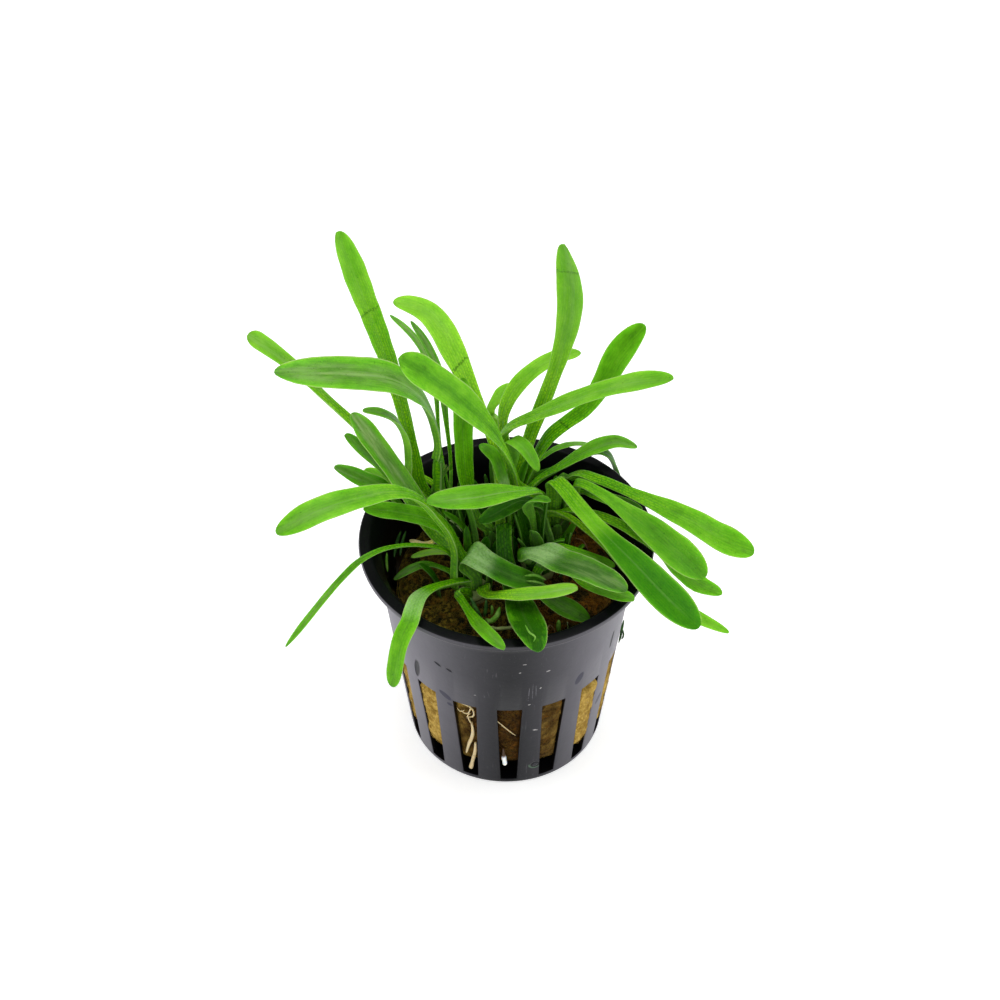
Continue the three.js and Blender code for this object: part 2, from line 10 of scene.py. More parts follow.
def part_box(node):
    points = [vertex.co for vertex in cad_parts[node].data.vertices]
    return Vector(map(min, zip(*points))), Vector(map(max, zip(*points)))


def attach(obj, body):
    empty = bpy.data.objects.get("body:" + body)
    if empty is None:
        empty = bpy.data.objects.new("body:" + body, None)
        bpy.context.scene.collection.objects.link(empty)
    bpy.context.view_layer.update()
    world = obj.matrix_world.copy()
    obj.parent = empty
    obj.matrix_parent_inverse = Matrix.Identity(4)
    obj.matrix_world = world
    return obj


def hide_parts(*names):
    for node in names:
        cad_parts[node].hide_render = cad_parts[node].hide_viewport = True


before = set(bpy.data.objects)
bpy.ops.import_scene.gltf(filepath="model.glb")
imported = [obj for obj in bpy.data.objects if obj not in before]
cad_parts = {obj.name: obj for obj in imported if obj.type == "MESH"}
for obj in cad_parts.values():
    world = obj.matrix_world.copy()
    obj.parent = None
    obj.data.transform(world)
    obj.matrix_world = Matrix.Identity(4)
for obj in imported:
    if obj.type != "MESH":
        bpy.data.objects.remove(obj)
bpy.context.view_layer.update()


# The pot
# A thin cup, moulded in black polypropylene, with sixteen root slots round its wall and eight in
# its floor. Its mouth flares out to a flat lip, and the outside is glossy and a little scuffed.
pot_low, pot_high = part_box("pot")
HEIGHT = 50
MM = (pot_high.z - pot_low.z) / HEIGHT
RIM = (pot_high.x - pot_low.x) / 2 / MM
NECK, NECK_HEIGHT = 0.88 * RIM, 45.5
BASE = 0.702 * RIM
WALL, FLOOR = 1.0, 1.2
SLOTS, SLOT_TURN = 16, math.radians(1.5 - 90)
SLOT_LOW, SLOT_HIGH = 1.5, 25.9
SLOT_LOW_WIDTH, SLOT_HIGH_WIDTH = 3.1, 4.75
FLOOR_SLOTS, FLOOR_SLOT_WIDTH = 8, 3.0
FLOOR_SLOT_START, FLOOR_SLOT_END = 6.0, 14.0
COLUMNS = 12  # columns of faces from one slot to the next
SLOT_COLUMN, FLOOR_SLOT_COLUMN = 3, 4  # the columns that become the edges of a slot
WALL_FROM, FLOOR_TO = 16, 15  # how far out the wall's slots begin and the floor's columns end
SLOT_ROUNDING = 0.14
ARC_STEPS = 5  # steps in each rounded corner


def wall_radius(height):
    return BASE + (NECK - BASE) * height / NECK_HEIGHT


def slot_width(height):
    return np.interp(height, (SLOT_LOW, SLOT_HIGH), (SLOT_LOW_WIDTH, SLOT_HIGH_WIDTH))


def softened(corners):
    """A line through (radius, height, rounding) corners, with an arc where there is a rounding."""
    line = []
    for before, here, after in zip(corners[:1] + corners, corners, corners[1:] + corners[-1:]):
        corner, rounding = Vector(here[:2]), here[2]
        if not rounding:
            line.append(corner)
            continue
        start = corner + (Vector(before[:2]) - corner).normalized() * rounding
        end = corner + (Vector(after[:2]) - corner).normalized() * rounding
        for step in range(ARC_STEPS + 1):
            share = step / ARC_STEPS
            line.append(start.lerp(corner, share).lerp(corner.lerp(end, share), share))
    return line


def spun(line, steps):
    """A closed skin turned about Z from (radius, height) points, the first and last on the axis."""
    bm = bmesh.new()
    points = [bm.verts.new((p.x * MM, 0, p.y * MM)) for p in line]
    edges = [bm.edges.new(pair) for pair in zip(points, points[1:])]
    bmesh.ops.spin(
        bm, geom=points + edges, cent=(0, 0, 0), axis=(0, 0, 1), angle=2 * math.pi, steps=steps,
        use_merge=True,
    )
    bmesh.ops.remove_doubles(bm, verts=bm.verts, dist=0.01 * MM)
    bmesh.ops.recalc_face_normals(bm, faces=bm.faces)
    return bm


def column_of(place, pitch, columns):
    """How many columns of faces a place is from the middle of its slot, from -half to +half."""
    return (math.atan2(place.y, place.x) / pitch * columns + columns / 2) % columns - columns / 2


def open_slots(bm, pitch, columns, edge, low, high, measure):
    """Takes the faces of each slot out of both skins of the wall and joins their edges through it.
    measure says how far along a slot a point is, and is 0 where there are no slots."""
    gone = [
        f for f in bm.faces
        if low < measure(f.calc_center_median()) < high
        and abs(column_of(f.calc_center_median(), pitch, columns)) < edge
    ]
    bmesh.ops.delete(bm, geom=gone, context="FACES")
    holes = {}
    for e in bm.edges:
        if e.is_boundary:
            middle = (e.verts[0].co + e.verts[1].co) / 2
            hole = round(math.atan2(middle.y, middle.x) / pitch) % round(2 * math.pi / pitch)
            holes.setdefault(hole, []).append(e)
    for edges in holes.values():
        bmesh.ops.bridge_loops(bm, edges=edges)


def squeeze(bm, pitch, columns, edge, half_width, chosen):
    """Slides the columns round the axis so that those at a slot's edges stand half_width from its middle."""
    for v in bm.verts:
        radius = math.hypot(v.co.x, v.co.y)
        if radius < MM or not chosen(v.co, radius):
            continue
        column = column_of(v.co, pitch, columns)
        middle = math.atan2(v.co.y, v.co.x) - column * pitch / columns
        half = math.asin(half_width(v.co) / radius)
        far = max(0, abs(column) - edge) / (columns / 2 - edge)
        turn = min(1, abs(column) / edge) * half + far * (pitch / 2 - half)
        angle = middle + math.copysign(turn, column)
        v.co.x, v.co.y = radius * math.cos(angle), radius * math.sin(angle)


def pot_shape():
    flare = RIM - NECK
    bm = spun(softened([
        (0, 0, 0), (FLOOR_SLOT_START, 0, 0), (FLOOR_SLOT_END, 0, 0), (BASE - 0.05, 0, 0.7),
        (wall_radius(SLOT_LOW), SLOT_LOW, 0), (wall_radius(SLOT_HIGH), SLOT_HIGH, 0),
        (wall_radius(36), 36, 0), (NECK, NECK_HEIGHT, 1.2),
        (NECK + 0.55 * flare, NECK_HEIGHT + 2.2, 1.2), (RIM, NECK_HEIGHT + 3.5, 0.5),
        (RIM, HEIGHT, 0.45), (RIM - 2.2, HEIGHT, 0.5), (NECK - 0.7, NECK_HEIGHT + 1.8, 1.0),
        (NECK - WALL, NECK_HEIGHT, 0.8), (wall_radius(SLOT_HIGH) - WALL, SLOT_HIGH, 0),
        (wall_radius(FLOOR) - WALL, FLOOR, 0), (FLOOR_SLOT_END, FLOOR, 0),
        (FLOOR_SLOT_START, FLOOR, 0), (0, FLOOR, 0),
    ]), SLOTS * COLUMNS)
    pitch, floor_pitch = 2 * math.pi / SLOTS, 2 * math.pi / FLOOR_SLOTS
    floor_columns = COLUMNS * SLOTS // FLOOR_SLOTS
    open_slots(
        bm, pitch, COLUMNS, SLOT_COLUMN, SLOT_LOW * MM, SLOT_HIGH * MM,
        lambda p: p.z * (p.xy.length > WALL_FROM * MM),
    )
    squeeze(
        bm, pitch, COLUMNS, SLOT_COLUMN, lambda p: MM / 2 * slot_width(p.z / MM),
        lambda p, radius: radius > WALL_FROM * MM,
    )
    # Only the sharp edges round the slots' outer mouths are softened.
    slot_rims = [
        e for e in bm.edges
        if e.is_manifold and e.calc_face_angle() > 1 and SLOT_LOW * MM < e.verts[0].co.z + e.verts[1].co.z
        and max(v.co.z for v in e.verts) < (SLOT_HIGH + 0.1) * MM
        and min(v.co.xy.length - wall_radius(v.co.z / MM) * MM for v in e.verts) > -0.2 * MM
    ]
    bmesh.ops.bevel(
        bm, geom=slot_rims, offset=SLOT_ROUNDING * MM, segments=2, profile=0.5, affect="EDGES",
        material=-1,
    )
    open_slots(
        bm, floor_pitch, floor_columns, FLOOR_SLOT_COLUMN, FLOOR_SLOT_START * MM, FLOOR_SLOT_END * MM,
        lambda p: p.xy.length * (p.z < 2 * MM),
    )
    squeeze(
        bm, floor_pitch, floor_columns, FLOOR_SLOT_COLUMN, lambda p: FLOOR_SLOT_WIDTH / 2 * MM,
        lambda p, radius: radius < FLOOR_TO * MM,
    )
    bmesh.ops.rotate(bm, verts=bm.verts, cent=(0, 0, 0), matrix=Matrix.Rotation(SLOT_TURN, 3, "Z"))
    bmesh.ops.recalc_face_normals(bm, faces=bm.faces)
    return bm


class Value:
    """One output of a finish's nodes. Sums, differences, products and powers of it are plain maths."""

    def __init__(self, finish, node, output):
        self.finish, self.node, self.socket = finish, node, node.outputs[output]

    def also(self, output):
        return Value(self.finish, self.node, output)

    def math(self, operation, first, second=0.0):
        return self.finish.node("Math", {"operation": operation}, {0: first, 1: second})

    def __add__(self, other):
        return self.math("ADD", self, other)

    def __radd__(self, other):
        return self.math("ADD", other, self)

    def __sub__(self, other):
        return self.math("SUBTRACT", self, other)

    def __rsub__(self, other):
        return self.math("SUBTRACT", other, self)

    def __mul__(self, other):
        return self.math("MULTIPLY", self, other)

    def __rmul__(self, other):
        return self.math("MULTIPLY", other, self)

    def __truediv__(self, other):
        return self.math("DIVIDE", self, other)

    def __pow__(self, other):
        return self.math("POWER", self, other)

    def __abs__(self):
        return self.math("ABSOLUTE", self)

    def cosine(self):
        return self.math("COSINE", self)

    def least(self, other):
        return self.math("MINIMUM", self, other)

    def most(self, other):
        return self.math("MAXIMUM", self, other)

    def rise(self, low, high):
        """0 below low and 1 above high, with a smooth step between them."""
        values = {"Value": self, "From Min": low, "From Max": high}
        return self.finish.node("MapRange", {"interpolation_type": "SMOOTHSTEP"}, values)


class Finish:
    """A material, built from nodes."""

    def __init__(self, name):
        self.material = bpy.data.materials.new(name)
        self.material.use_nodes = True
        self.tree = self.material.node_tree
        self.tree.nodes.clear()

    def node(self, kind, settings, values, output=0):
        """One node: its settings are set first, then its sockets get plain values or links."""
        made = self.tree.nodes.new("ShaderNode" + kind)
        settings = dict(settings)
        stops = settings.pop("stops", ())
        for name, value in settings.items():
            setattr(made, name, value)
        for _ in stops[2:]:
            made.color_ramp.elements.new(1)
        for i, (at, colour) in enumerate(stops):
            made.color_ramp.elements[i].position, made.color_ramp.elements[i].color = at, colour
        for name, value in values.items():
            if isinstance(value, Value):
                self.tree.links.new(value.socket, made.inputs[name])
            else:
                made.inputs[name].default_value = value
        return Value(self, made, output) if made.outputs else made

    def millimetres(self):
        """Where a point of the piece is, in millimetres."""
        place = self.node("TexCoord", {}, {}, "Object")
        return self.node("VectorMath", {"operation": "SCALE"}, {0: place, "Scale": 1 / MM})

    def axes(self, place):
        """The three numbers of a point."""
        x = self.node("SeparateXYZ", {}, {0: place})
        return x, x.also(1), x.also(2)

    def turn_of(self, x, y):
        """The angle round the pot, from its front towards +X."""
        return self.node("Math", {"operation": "ARCTAN2"}, {0: x, 1: 0 - y})

    def point(self, x, y, z):
        return self.node("CombineXYZ", {}, {0: x, 1: y, 2: z})

    def stretched(self, place, x, y, z):
        return self.node("VectorMath", {"operation": "MULTIPLY"}, {0: place, 1: (x, y, z)})

    def cloud(self, place, scale, detail=3.0, rough=0.55, warp=0.0):
        """Noise from 0 to 1, with scale lumps to the millimetre."""
        values = {"Vector": place, "Scale": scale, "Detail": detail, "Roughness": rough, "Distortion": warp}
        return self.node("TexNoise", {}, values)

    def blend(self, share, first, second):
        """The colour first, turning into second as share goes from 0 to 1."""
        return self.node("Mix", {"data_type": "RGBA"}, {0: share, 6: first, 7: second}, 2)

    def tint(self, share, colour, by):
        """The colour, multiplied by another as share goes from 0 to 1."""
        settings = {"data_type": "RGBA", "blend_type": "MULTIPLY"}
        return self.node("Mix", settings, {0: share, 6: colour, 7: by}, 2)

    def ramp(self, share, *stops):
        """The colour that (place, colour) stops give at share."""
        return self.node("ValToRGB", {"stops": stops}, {0: share})

    def bump(self, height, depth):
        """A normal from a height of 0 to 1 that stands depth millimetres high."""
        return self.node("Bump", {}, {"Height": height, "Strength": 1.0, "Distance": depth * MM})

    def done(self, **sockets):
        """Joins everything in one surface, and returns the material."""
        values = {name.replace("_", " "): value for name, value in sockets.items()}
        self.node("OutputMaterial", {}, {"Surface": self.node("BsdfPrincipled", {}, values)})
        return self.material


# Marks on the wall: degrees round from the front towards +X, height, half length, half width and
# lean in degrees. Dents and slits are dark, smudges bluish, and scratches and specks pale.
DENTS = (
    (-48, 30, 3.2, 0.75, 80), (-33, 36.3, 0.8, 0.4, -25), (-27, 35.9, 0.7, 0.35, -25),
    (59, 34.5, 2.6, 0.45, 86),
)
SMUDGES = (
    (-31, 26.7, 1.7, 0.8, -35), (-29, 24.3, 0.7, 0.5, 0), (37, 30.5, 1.8, 0.9, 70), (58, 16.4, 1.6, 0.8, 60),
)
SCRATCHES = (
    (10.5, 30.8, 2.4, 0.12, 88), (12.3, 31.4, 2.8, 0.1, 90), (13.9, 31.6, 2.0, 0.1, 92),
    (-60, 20, 4, 0.1, 80), (150, 33, 3, 0.12, 70), (95, 12, 3.4, 0.12, 95), (-130, 30, 2.6, 0.1, 100),
)
SPECKS = (
    (8, 40.7, 0.4, 0.16, 0), (6, 38.2, 0.25, 0.14, 20), (19, 37.3, 0.45, 0.17, 10),
    (16, 32.3, 0.3, 0.14, 60), (-15, 30.1, 0.25, 0.18, 0), (15, 18.3, 0.6, 0.24, -20),
    (20, 7.1, 0.3, 0.16, 60), (11, 27.4, 0.3, 0.13, 10),
)
# A ring pressed into the wall low down: degrees round, height and radius.
RING_MARK = (16.4, 5.8, 0.75)


def on_wall(turn, z, mark):
    """1 inside an oval mark on the pot's wall and 0 outside it."""
    degrees, height, long, wide, lean = mark
    x, y = (turn - math.radians(degrees)) * wall_radius(height), z - height
    cos, sin = math.cos(math.radians(lean)), math.sin(math.radians(lean))
    u, v = (x * cos + y * sin) / long, (y * cos - x * sin) / wide
    return 1 - (u * u + v * v).rise(0.55, 1.1)


def any_of(turn, z, marks):
    first, *others = [on_wall(turn, z, mark) for mark in marks]
    for other in others:
        first = first.most(other)
    return first


def pot_plastic():
    finish = Finish("black_polypropylene")
    place = finish.millimetres()
    x, y, z = finish.axes(place)
    turn = finish.turn_of(x, y)
    radial = finish.node("VectorMath", {"operation": "NORMALIZE"}, {0: finish.point(x, y, 0.0)})
    normal = finish.node("NewGeometry", {}, {}, "Normal")
    facing = finish.node("VectorMath", {"operation": "DOT_PRODUCT"}, {0: radial, 1: normal}, "Value")
    outer = facing.rise(0.35, 0.75)

    # Painted reflection: broad upright pale bands at the sides, as of soft boxes beside the pot, with a film
    # of lime and dried dirt in them; they fade low down and at the flare, and the front and back are left
    # dark.
    film = finish.cloud(place, 0.13, 5, 0.62)
    streaks = finish.cloud(finish.stretched(place, 0.7, 0.7, 0.05), 1.0, 4)
    reflection_bands = (0.5 - ((turn - math.radians(2)) * 2).cosine() * 0.5) ** 0.85
    film_and_reflection = (reflection_bands * (0.68 + film * 0.45 + streaks * 0.2)).least(1)
    film_and_reflection = film_and_reflection * outer * (0.72 + 0.28 * z.rise(4, 22)) * (1 - z.rise(45, 47) * 0.15)
    scuffs = finish.cloud(finish.stretched(place, 2.6, 2.6, 0.14), 1.0, 4).rise(0.62, 0.72)
    scuffs = scuffs * film.rise(0.42, 0.6)
    dust = finish.cloud(place, 3.2, 2).rise(0.72, 0.77)
    grain = finish.cloud(place, 1.4, 3)
    # Painted highlight with some wear: a paler band along the top of the lip's outer face.
    lip_wear_and_gleam = z.rise(49.1, 49.7) * outer

    # Painted shade: the inside and the upward faces such as the lip's top are near black, and the outer
    # plastic is darker towards the bottom; the painted reflection bands go over it.
    plastic = finish.blend(z.rise(8, 34), (0.0075, 0.0078, 0.0098, 1), (0.0135, 0.0137, 0.016, 1))
    colour = finish.blend(outer, (0.003, 0.003, 0.004, 1), plastic)
    colour = finish.blend(film_and_reflection, colour, (0.226, 0.217, 0.254, 1))
    colour = finish.blend((scuffs * 0.22 + dust * 0.3) * outer, colour, (0.22, 0.21, 0.23, 1))
    colour = finish.blend(lip_wear_and_gleam * 0.35, colour, (0.16, 0.155, 0.17, 1))

    # The marks lie over it, with a tinge of green under the pressed ring.
    smudge = any_of(turn, z, SMUDGES) * outer
    colour = finish.blend(smudge * (0.5 + film * 0.5), colour, (0.022, 0.022, 0.045, 1))
    dent = any_of(turn, z, DENTS) * outer
    colour = finish.blend(dent, colour, (0.006, 0.006, 0.012, 1))
    scratch = any_of(turn, z, SCRATCHES) * outer * grain.rise(0.3, 0.6)
    colour = finish.blend(scratch * 0.35, colour, (0.24, 0.23, 0.26, 1))
    speck = any_of(turn, z, SPECKS) * outer
    colour = finish.blend(speck * grain.rise(0.3, 0.6) * 0.7, colour, (0.55, 0.53, 0.52, 1))
    degrees, height, radius = RING_MARK
    ring_x, ring_y = (turn - math.radians(degrees)) * wall_radius(height), z - height
    out = (ring_x * ring_x + ring_y * ring_y) ** 0.5 - radius
    ring = (1 - abs(out).rise(0.1, 0.35)) * outer
    colour = finish.blend(ring * 0.7, colour, (0.004, 0.005, 0.006, 1))
    green = (1 - abs(out - 0.4).rise(0.1, 0.3)) * (0 - ring_y - 0.5 * ring_x).rise(0, 1)
    colour = finish.blend(green * outer * 0.6, colour, (0.10, 0.17, 0.11, 1))
    height = grain * 0.3 + finish.cloud(place, 0.35, 2) * 0.5 - dent * 6 - ring * 1.5 - scratch
    return finish.done(
        Base_Color=colour, Roughness=0.26 + film * 0.12 + scuffs * 0.25 + dust * 0.3 + film_and_reflection * 0.12, IOR=1.17,
        Normal=finish.bump(height, 0.05),
    )


def placed(name, data):
    """A new object in the scene."""
    made = bpy.data.objects.new(name, data)
    bpy.context.scene.collection.objects.link(made)
    return made


def piece(name, bm, finish, slot, *stands_for):
    """A finished piece: its shape with its finish on, riding on the plant's one body."""
    mesh = bpy.data.meshes.new(name)
    bm.to_mesh(mesh)
    bm.free()
    mesh.shade_smooth()
    mesh.materials.append(finish)
    made = placed(name, mesh)
    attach(made, "root")
    if stands_for:
        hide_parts(*stands_for)


piece("nursery_pot", pot_shape(), pot_plastic(), "pot", "pot")


# The stone wool
# A plug of mineral fibre round the roots, wet and stained brown and ochre by algae. It fills the pot
# up to the wall, bulges a little into the slots, and loose fibres stand off it wherever it shows.
WOOL_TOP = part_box("stone_wool")[1].z / MM - 1.2
WOOL_EDGE = 19.8
WOOL_SHOULDER = 37  # above this height the wool counts as its top
WOOL_STEP, WOOL_COLUMNS = 0.55, 352  # height of a row of faces, and how many faces stand round it
# In front the plug's foot stands higher, and the pot is empty under it: how far it is raised, where
# round the pot and over how wide a turn in radians, and up to what height.
HOLLOW, HOLLOW_TURN, HOLLOW_WIDTH, HOLLOW_TOP = 2.0, -0.08, 0.34, 16
# How far the wool swells into a slot beyond the wall's inside: those near the front one, which is
# slot 0, and all others.
BULGES = {-3: 1.3, -2: 1.35, -1: 0.4, 0: 0.3, 1: 0.9, 2: 1.65, 3: 1.4}
BULGE = 0.9


def even(line, step):
    """The same line with points a step apart."""
    lengths = np.concatenate([[0], np.cumsum([(b - a).length for a, b in zip(line, line[1:])])])
    places = np.linspace(0, lengths[-1], round(lengths[-1] / step) + 1)
    across, up = ([p[k] for p in line] for k in (0, 1))
    return [Vector((np.interp(at, lengths, across), np.interp(at, lengths, up))) for at in places]


def swelling(angle, height):
    """How far the wool stands out here: most in a slot's middle, and 0 at its edges and beyond."""
    pitch = 2 * math.pi / SLOTS
    off = abs((angle - SLOT_TURN + pitch / 2) % pitch - pitch / 2) * wall_radius(height)
    half = slot_width(height) / 2
    across = max(0, 1 - off / (half + 0.35))
    along = np.interp(height, (4, 7, SLOT_HIGH - 2, SLOT_HIGH - 0.3), (0, 1, 1, 0))
    slot = round((angle - SLOT_TURN) / pitch) % SLOTS
    return min(1, 6 * across) * along * BULGES.get(slot, BULGES.get(slot - SLOTS, BULGE))


def wool_shape():
    line = softened([
        (0, 1.6, 0), (14.6, 1.6, 1.5), (wall_radius(5) - 2.6, 3.2, 1.5),
        (wall_radius(6) - WALL - 0.5, 5.6, 2.0), (wall_radius(36) - WALL - 0.6, 36, 3.0),
        (WOOL_EDGE, WOOL_TOP - 0.9, 2.0), (10, WOOL_TOP, 3.0), (0, WOOL_TOP, 0),
    ])
    bm = spun(even(line, WOOL_STEP), WOOL_COLUMNS)
    for v in bm.verts:
        place = v.co / MM
        radius, angle, height = place.xy.length, math.atan2(place.y, place.x), place.z
        coarse, fine = noise.fractal(place * 0.22, 1.0, 2.1, 3), noise.fractal(place * 0.9, 0.9, 2.1, 3)
        on_top = min(1, max(0, (height - WOOL_SHOULDER) / 3))
        place.z += on_top * (1.1 * coarse + 0.5 * fine - 0.2)
        if 12 < radius and height < HOLLOW_TOP:
            raised = HOLLOW * math.exp(-(((angle + math.pi / 2 - HOLLOW_TURN) / HOLLOW_WIDTH) ** 2))
            place.z += raised * np.interp(height, (3, 6, HOLLOW_TOP), (0.5, 1, 0))
        # The sides keep just inside the pot's wall, and stand out in the slots alone.
        most = wall_radius(height) - WALL - 0.12
        if radius > 1:
            lumps = coarse + 0.12 * fine
            out = radius + (1 - on_top) * (0.3 * lumps - 0.03)
            out = min(out, most) + swelling(angle, height) * min(1.1, 0.92 + 0.14 * lumps)
            place.x *= out / radius
            place.y *= out / radius
        v.co = place * MM
    return bm


def wool_finish(name, light):
    """Wet mineral fibre: ochre at the sides, brown in front, and dark with reddish and golden patches
    on top. light lifts it all for the loose fibres, which stand clear of the wet."""
    finish = Finish(name)
    place = finish.millimetres()
    x, y, z = finish.axes(place)
    turn = finish.turn_of(x, y)
    patches = finish.cloud(place, 0.16, 4, 0.6, 0.4)
    lumps = finish.cloud(place, 0.5, 4, 0.6, 0.5)
    specks = finish.cloud(place, 1.3, 4, 0.65, 0.6)
    strands = finish.cloud(finish.stretched(place, 1.0, 1.0, 0.4), 2.2, 4, 0.65, 1.6)
    on_top = z.rise(WOOL_SHOULDER, WOOL_SHOULDER + 2.5)

    # The sides are clods of brown in front and of ochre further round, with rusty stains.
    clods = (specks.rise(0.3, 0.7) * 0.45 + lumps.rise(0.36, 0.62) * 0.6).least(1)
    ochre = finish.blend(clods, (0.26, 0.145, 0.018, 1), (0.70, 0.50, 0.13, 1))
    brown = finish.blend(clods, (0.015, 0.006, 0.001, 1), (0.08, 0.036, 0.004, 1))
    rust = finish.blend(specks.rise(0.35, 0.7), (0.075, 0.028, 0.004, 1), (0.28, 0.12, 0.012, 1))
    share = abs(turn + 0.02 + (patches - 0.5) * 0.7 - x.rise(4, 12) * 0.08).rise(0.26, 0.7)
    side = finish.blend(share * (1 - patches.rise(0.52, 0.66) * y.rise(-5, 8) * 0.6), brown, ochre)
    side = finish.blend(lumps.rise(0.54, 0.68) * (0.75 - share * 0.3), side, rust)

    # The top is mossy to the left and rusty to the right, with golden specks and near-black patches that are
    # partly wet fibre and partly painted shade.
    damp_and_shade = finish.cloud(place, 0.34, 3)
    moss = finish.blend(specks.rise(0.4, 0.66), (0.028, 0.024, 0.004, 1), (0.30, 0.22, 0.03, 1))
    top = finish.blend((lumps.rise(0.5, 0.62) * 0.6 + x.rise(0, 9) * 0.9).least(1), moss, rust)
    top = finish.blend(specks.rise(0.6, 0.8) * (1 - x.rise(2, 10) * 0.6) * 0.7, top, (0.42, 0.25, 0.055, 1))
    top = finish.blend(damp_and_shade.rise(0.51, 0.6) * 0.92, top, (0.006, 0.009, 0.004, 1))
    colour = finish.blend(on_top, side, top)
    colour = finish.tint(strands.rise(0.35, 0.62) * (0.5 - light * 0.3), colour, (0.55, 0.43, 0.24, 1))
    if light:
        colour = finish.blend(light, colour, (0.50, 0.34, 0.08, 1))
    height = specks * 0.5 + strands * 0.5
    return finish.done(
        Base_Color=colour, Roughness=0.6 + specks * 0.35, IOR=1.13,
        Normal=finish.bump(height, 0.5),
    )


def tubes(name, lines, thick, finish, slot, *stands_for, sides=0):
    """Tubes along lines of points in millimetres, made into one mesh. thick holds each tube's half
    thickness, which tapers at both ends, or a list of them, one for each point."""
    curve = bpy.data.curves.new(name, "CURVE")
    curve.dimensions = "3D"
    curve.bevel_depth = MM
    curve.bevel_resolution = sides
    curve.use_fill_caps = True
    for line, radius in zip(lines, thick):
        spline = curve.splines.new("POLY")
        spline.points.add(len(line) - 1)
        for i, (point, place) in enumerate(zip(spline.points, line)):
            taper = 1 - 0.75 * abs(2 * i / (len(line) - 1) - 1) ** 3
            point.co = (*(Vector(place) * MM), 1)
            point.radius = radius[i] if isinstance(radius, list) else radius * taper
    drawn = bpy.data.objects.new(name, curve)
    bm = bmesh.new()
    bm.from_mesh(drawn.to_mesh())
    bpy.data.objects.remove(drawn)
    bpy.data.curves.remove(curve)
    bmesh.ops.remove_doubles(bm, verts=bm.verts, dist=0.001 * MM)
    piece(name, bm, finish, slot, *stands_for)


def strand(surface, start, heading, length, rise, dice):
    """A loose fibre: it leaves the surface at start, bends about and lies down on it again."""
    steps = 5
    line = []
    here, turn = start.copy(), dice.uniform(-0.5, 0.5)
    for step in range(steps + 1):
        near, normal, _, _ = surface.find_nearest(here * MM)
        near /= MM
        line.append(near + normal * (rise * math.sin(math.pi * (step + 0.3) / (steps + 0.6)) + 0.02))
        heading = (Matrix.Rotation(turn, 3, normal) @ heading).normalized()
        heading -= normal * heading.dot(normal)
        here = near + heading * (length / steps)
    return line


TOP_STRANDS, SIDE_STRANDS = 3000, 2400


def wool_strands(surface):
    """Loose fibres on the top and in the slots, and the dice, which go on to their thicknesses."""
    dice = random.Random(4)
    top, sides = [], []
    while len(top) < TOP_STRANDS:
        radius, angle = WOOL_EDGE * math.sqrt(dice.random()), dice.uniform(0, 2 * math.pi)
        start = Vector((radius * math.cos(angle), radius * math.sin(angle), WOOL_TOP))
        heading = Vector((dice.uniform(-1, 1), dice.uniform(-1, 1), 0))
        top.append(strand(surface, start, heading, dice.uniform(1.5, 5), dice.uniform(0.05, 0.7), dice))
    while len(sides) < SIDE_STRANDS:
        slot = dice.randrange(SLOTS)
        height = dice.uniform(5, SLOT_HIGH - 0.6)
        half = slot_width(height) / 2 - 0.5
        radius = wall_radius(height)
        angle = SLOT_TURN + slot * 2 * math.pi / SLOTS + dice.uniform(-half, half) / radius
        start = Vector((radius * math.cos(angle), radius * math.sin(angle), height))
        heading = Vector((
            -math.sin(angle) * dice.uniform(-0.3, 0.3), math.cos(angle) * dice.uniform(-0.3, 0.3),
            dice.choice((-1, 1)),
        ))
        sides.append(strand(surface, start, heading, dice.uniform(0.8, 2.6), dice.uniform(0.03, 0.3), dice))
    return top, sides, dice


wool = wool_shape()
wool.normal_update()
wool_surface = bvhtree.BVHTree.FromBMesh(wool)
piece("stone_wool_plug", wool, wool_finish("wet_stone_wool", 0), "wool", "stone_wool")
top_strands, side_strands, dice = wool_strands(wool_surface)
strand_finish = wool_finish("loose_fibre", 0.22)
for name, strands, thin, thick in (
    ("wool_fibres_top", top_strands, 0.012, 0.028), ("wool_fibres_slots", side_strands, 0.010, 0.024),
):
    tubes(name, strands, [dice.uniform(thin, thick) for _ in strands], strand_finish, "wool")


# The crowns
# Six short stems, each hidden in the pale feet of its own leaves. They sit in the top of the wool.
CROWN_RIBS = 7
CROWN_STEP, CROWN_COLUMNS = 0.35, 56


def crown_shape(node):
    low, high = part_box(node)
    middle = (low + high) / 2
    radius, top, foot = (high.x - low.x) / 2 / MM, high.z / MM, low.z / MM
    bm = spun(even(softened([
        (0, foot, 0), (0.7 * radius, foot, 0.6), (radius, foot + 4, 1.5), (0.98 * radius, top - 0.4, 0.8),
        (0.6 * radius, top + 0.25, 0.8), (0, top + 0.1, 0),
    ]), CROWN_STEP), CROWN_COLUMNS)
    for v in bm.verts:
        angle = math.atan2(v.co.y, v.co.x)
        rib = 1 - 0.07 * abs(math.sin(CROWN_RIBS / 2 * angle + 0.12 * v.co.z / MM))
        v.co.x *= rib
        v.co.y *= rib
    bmesh.ops.translate(bm, verts=bm.verts, vec=(middle.x, middle.y, 0))
    return bm


def crown_finish():
    finish = Finish("pale_sheath")
    place = finish.millimetres()
    z = finish.axes(place)[2]
    lines = finish.cloud(finish.stretched(place, 1, 1, 0.15), 3.5, 3)
    colour = finish.blend(z.rise(40, 44), (0.16, 0.12, 0.04, 1), (0.20, 0.34, 0.06, 1))
    colour = finish.blend(lines * 0.6, colour, (0.42, 0.5, 0.2, 1))
    return finish.done(Base_Color=colour, Roughness=0.38 + lines * 0.2, Normal=finish.bump(lines, 0.12))


sheath = crown_finish()
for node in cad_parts:
    if node.startswith("crown_"):
        piece(node.replace("crown", "stem"), crown_shape(node), sheath, "crown", node)


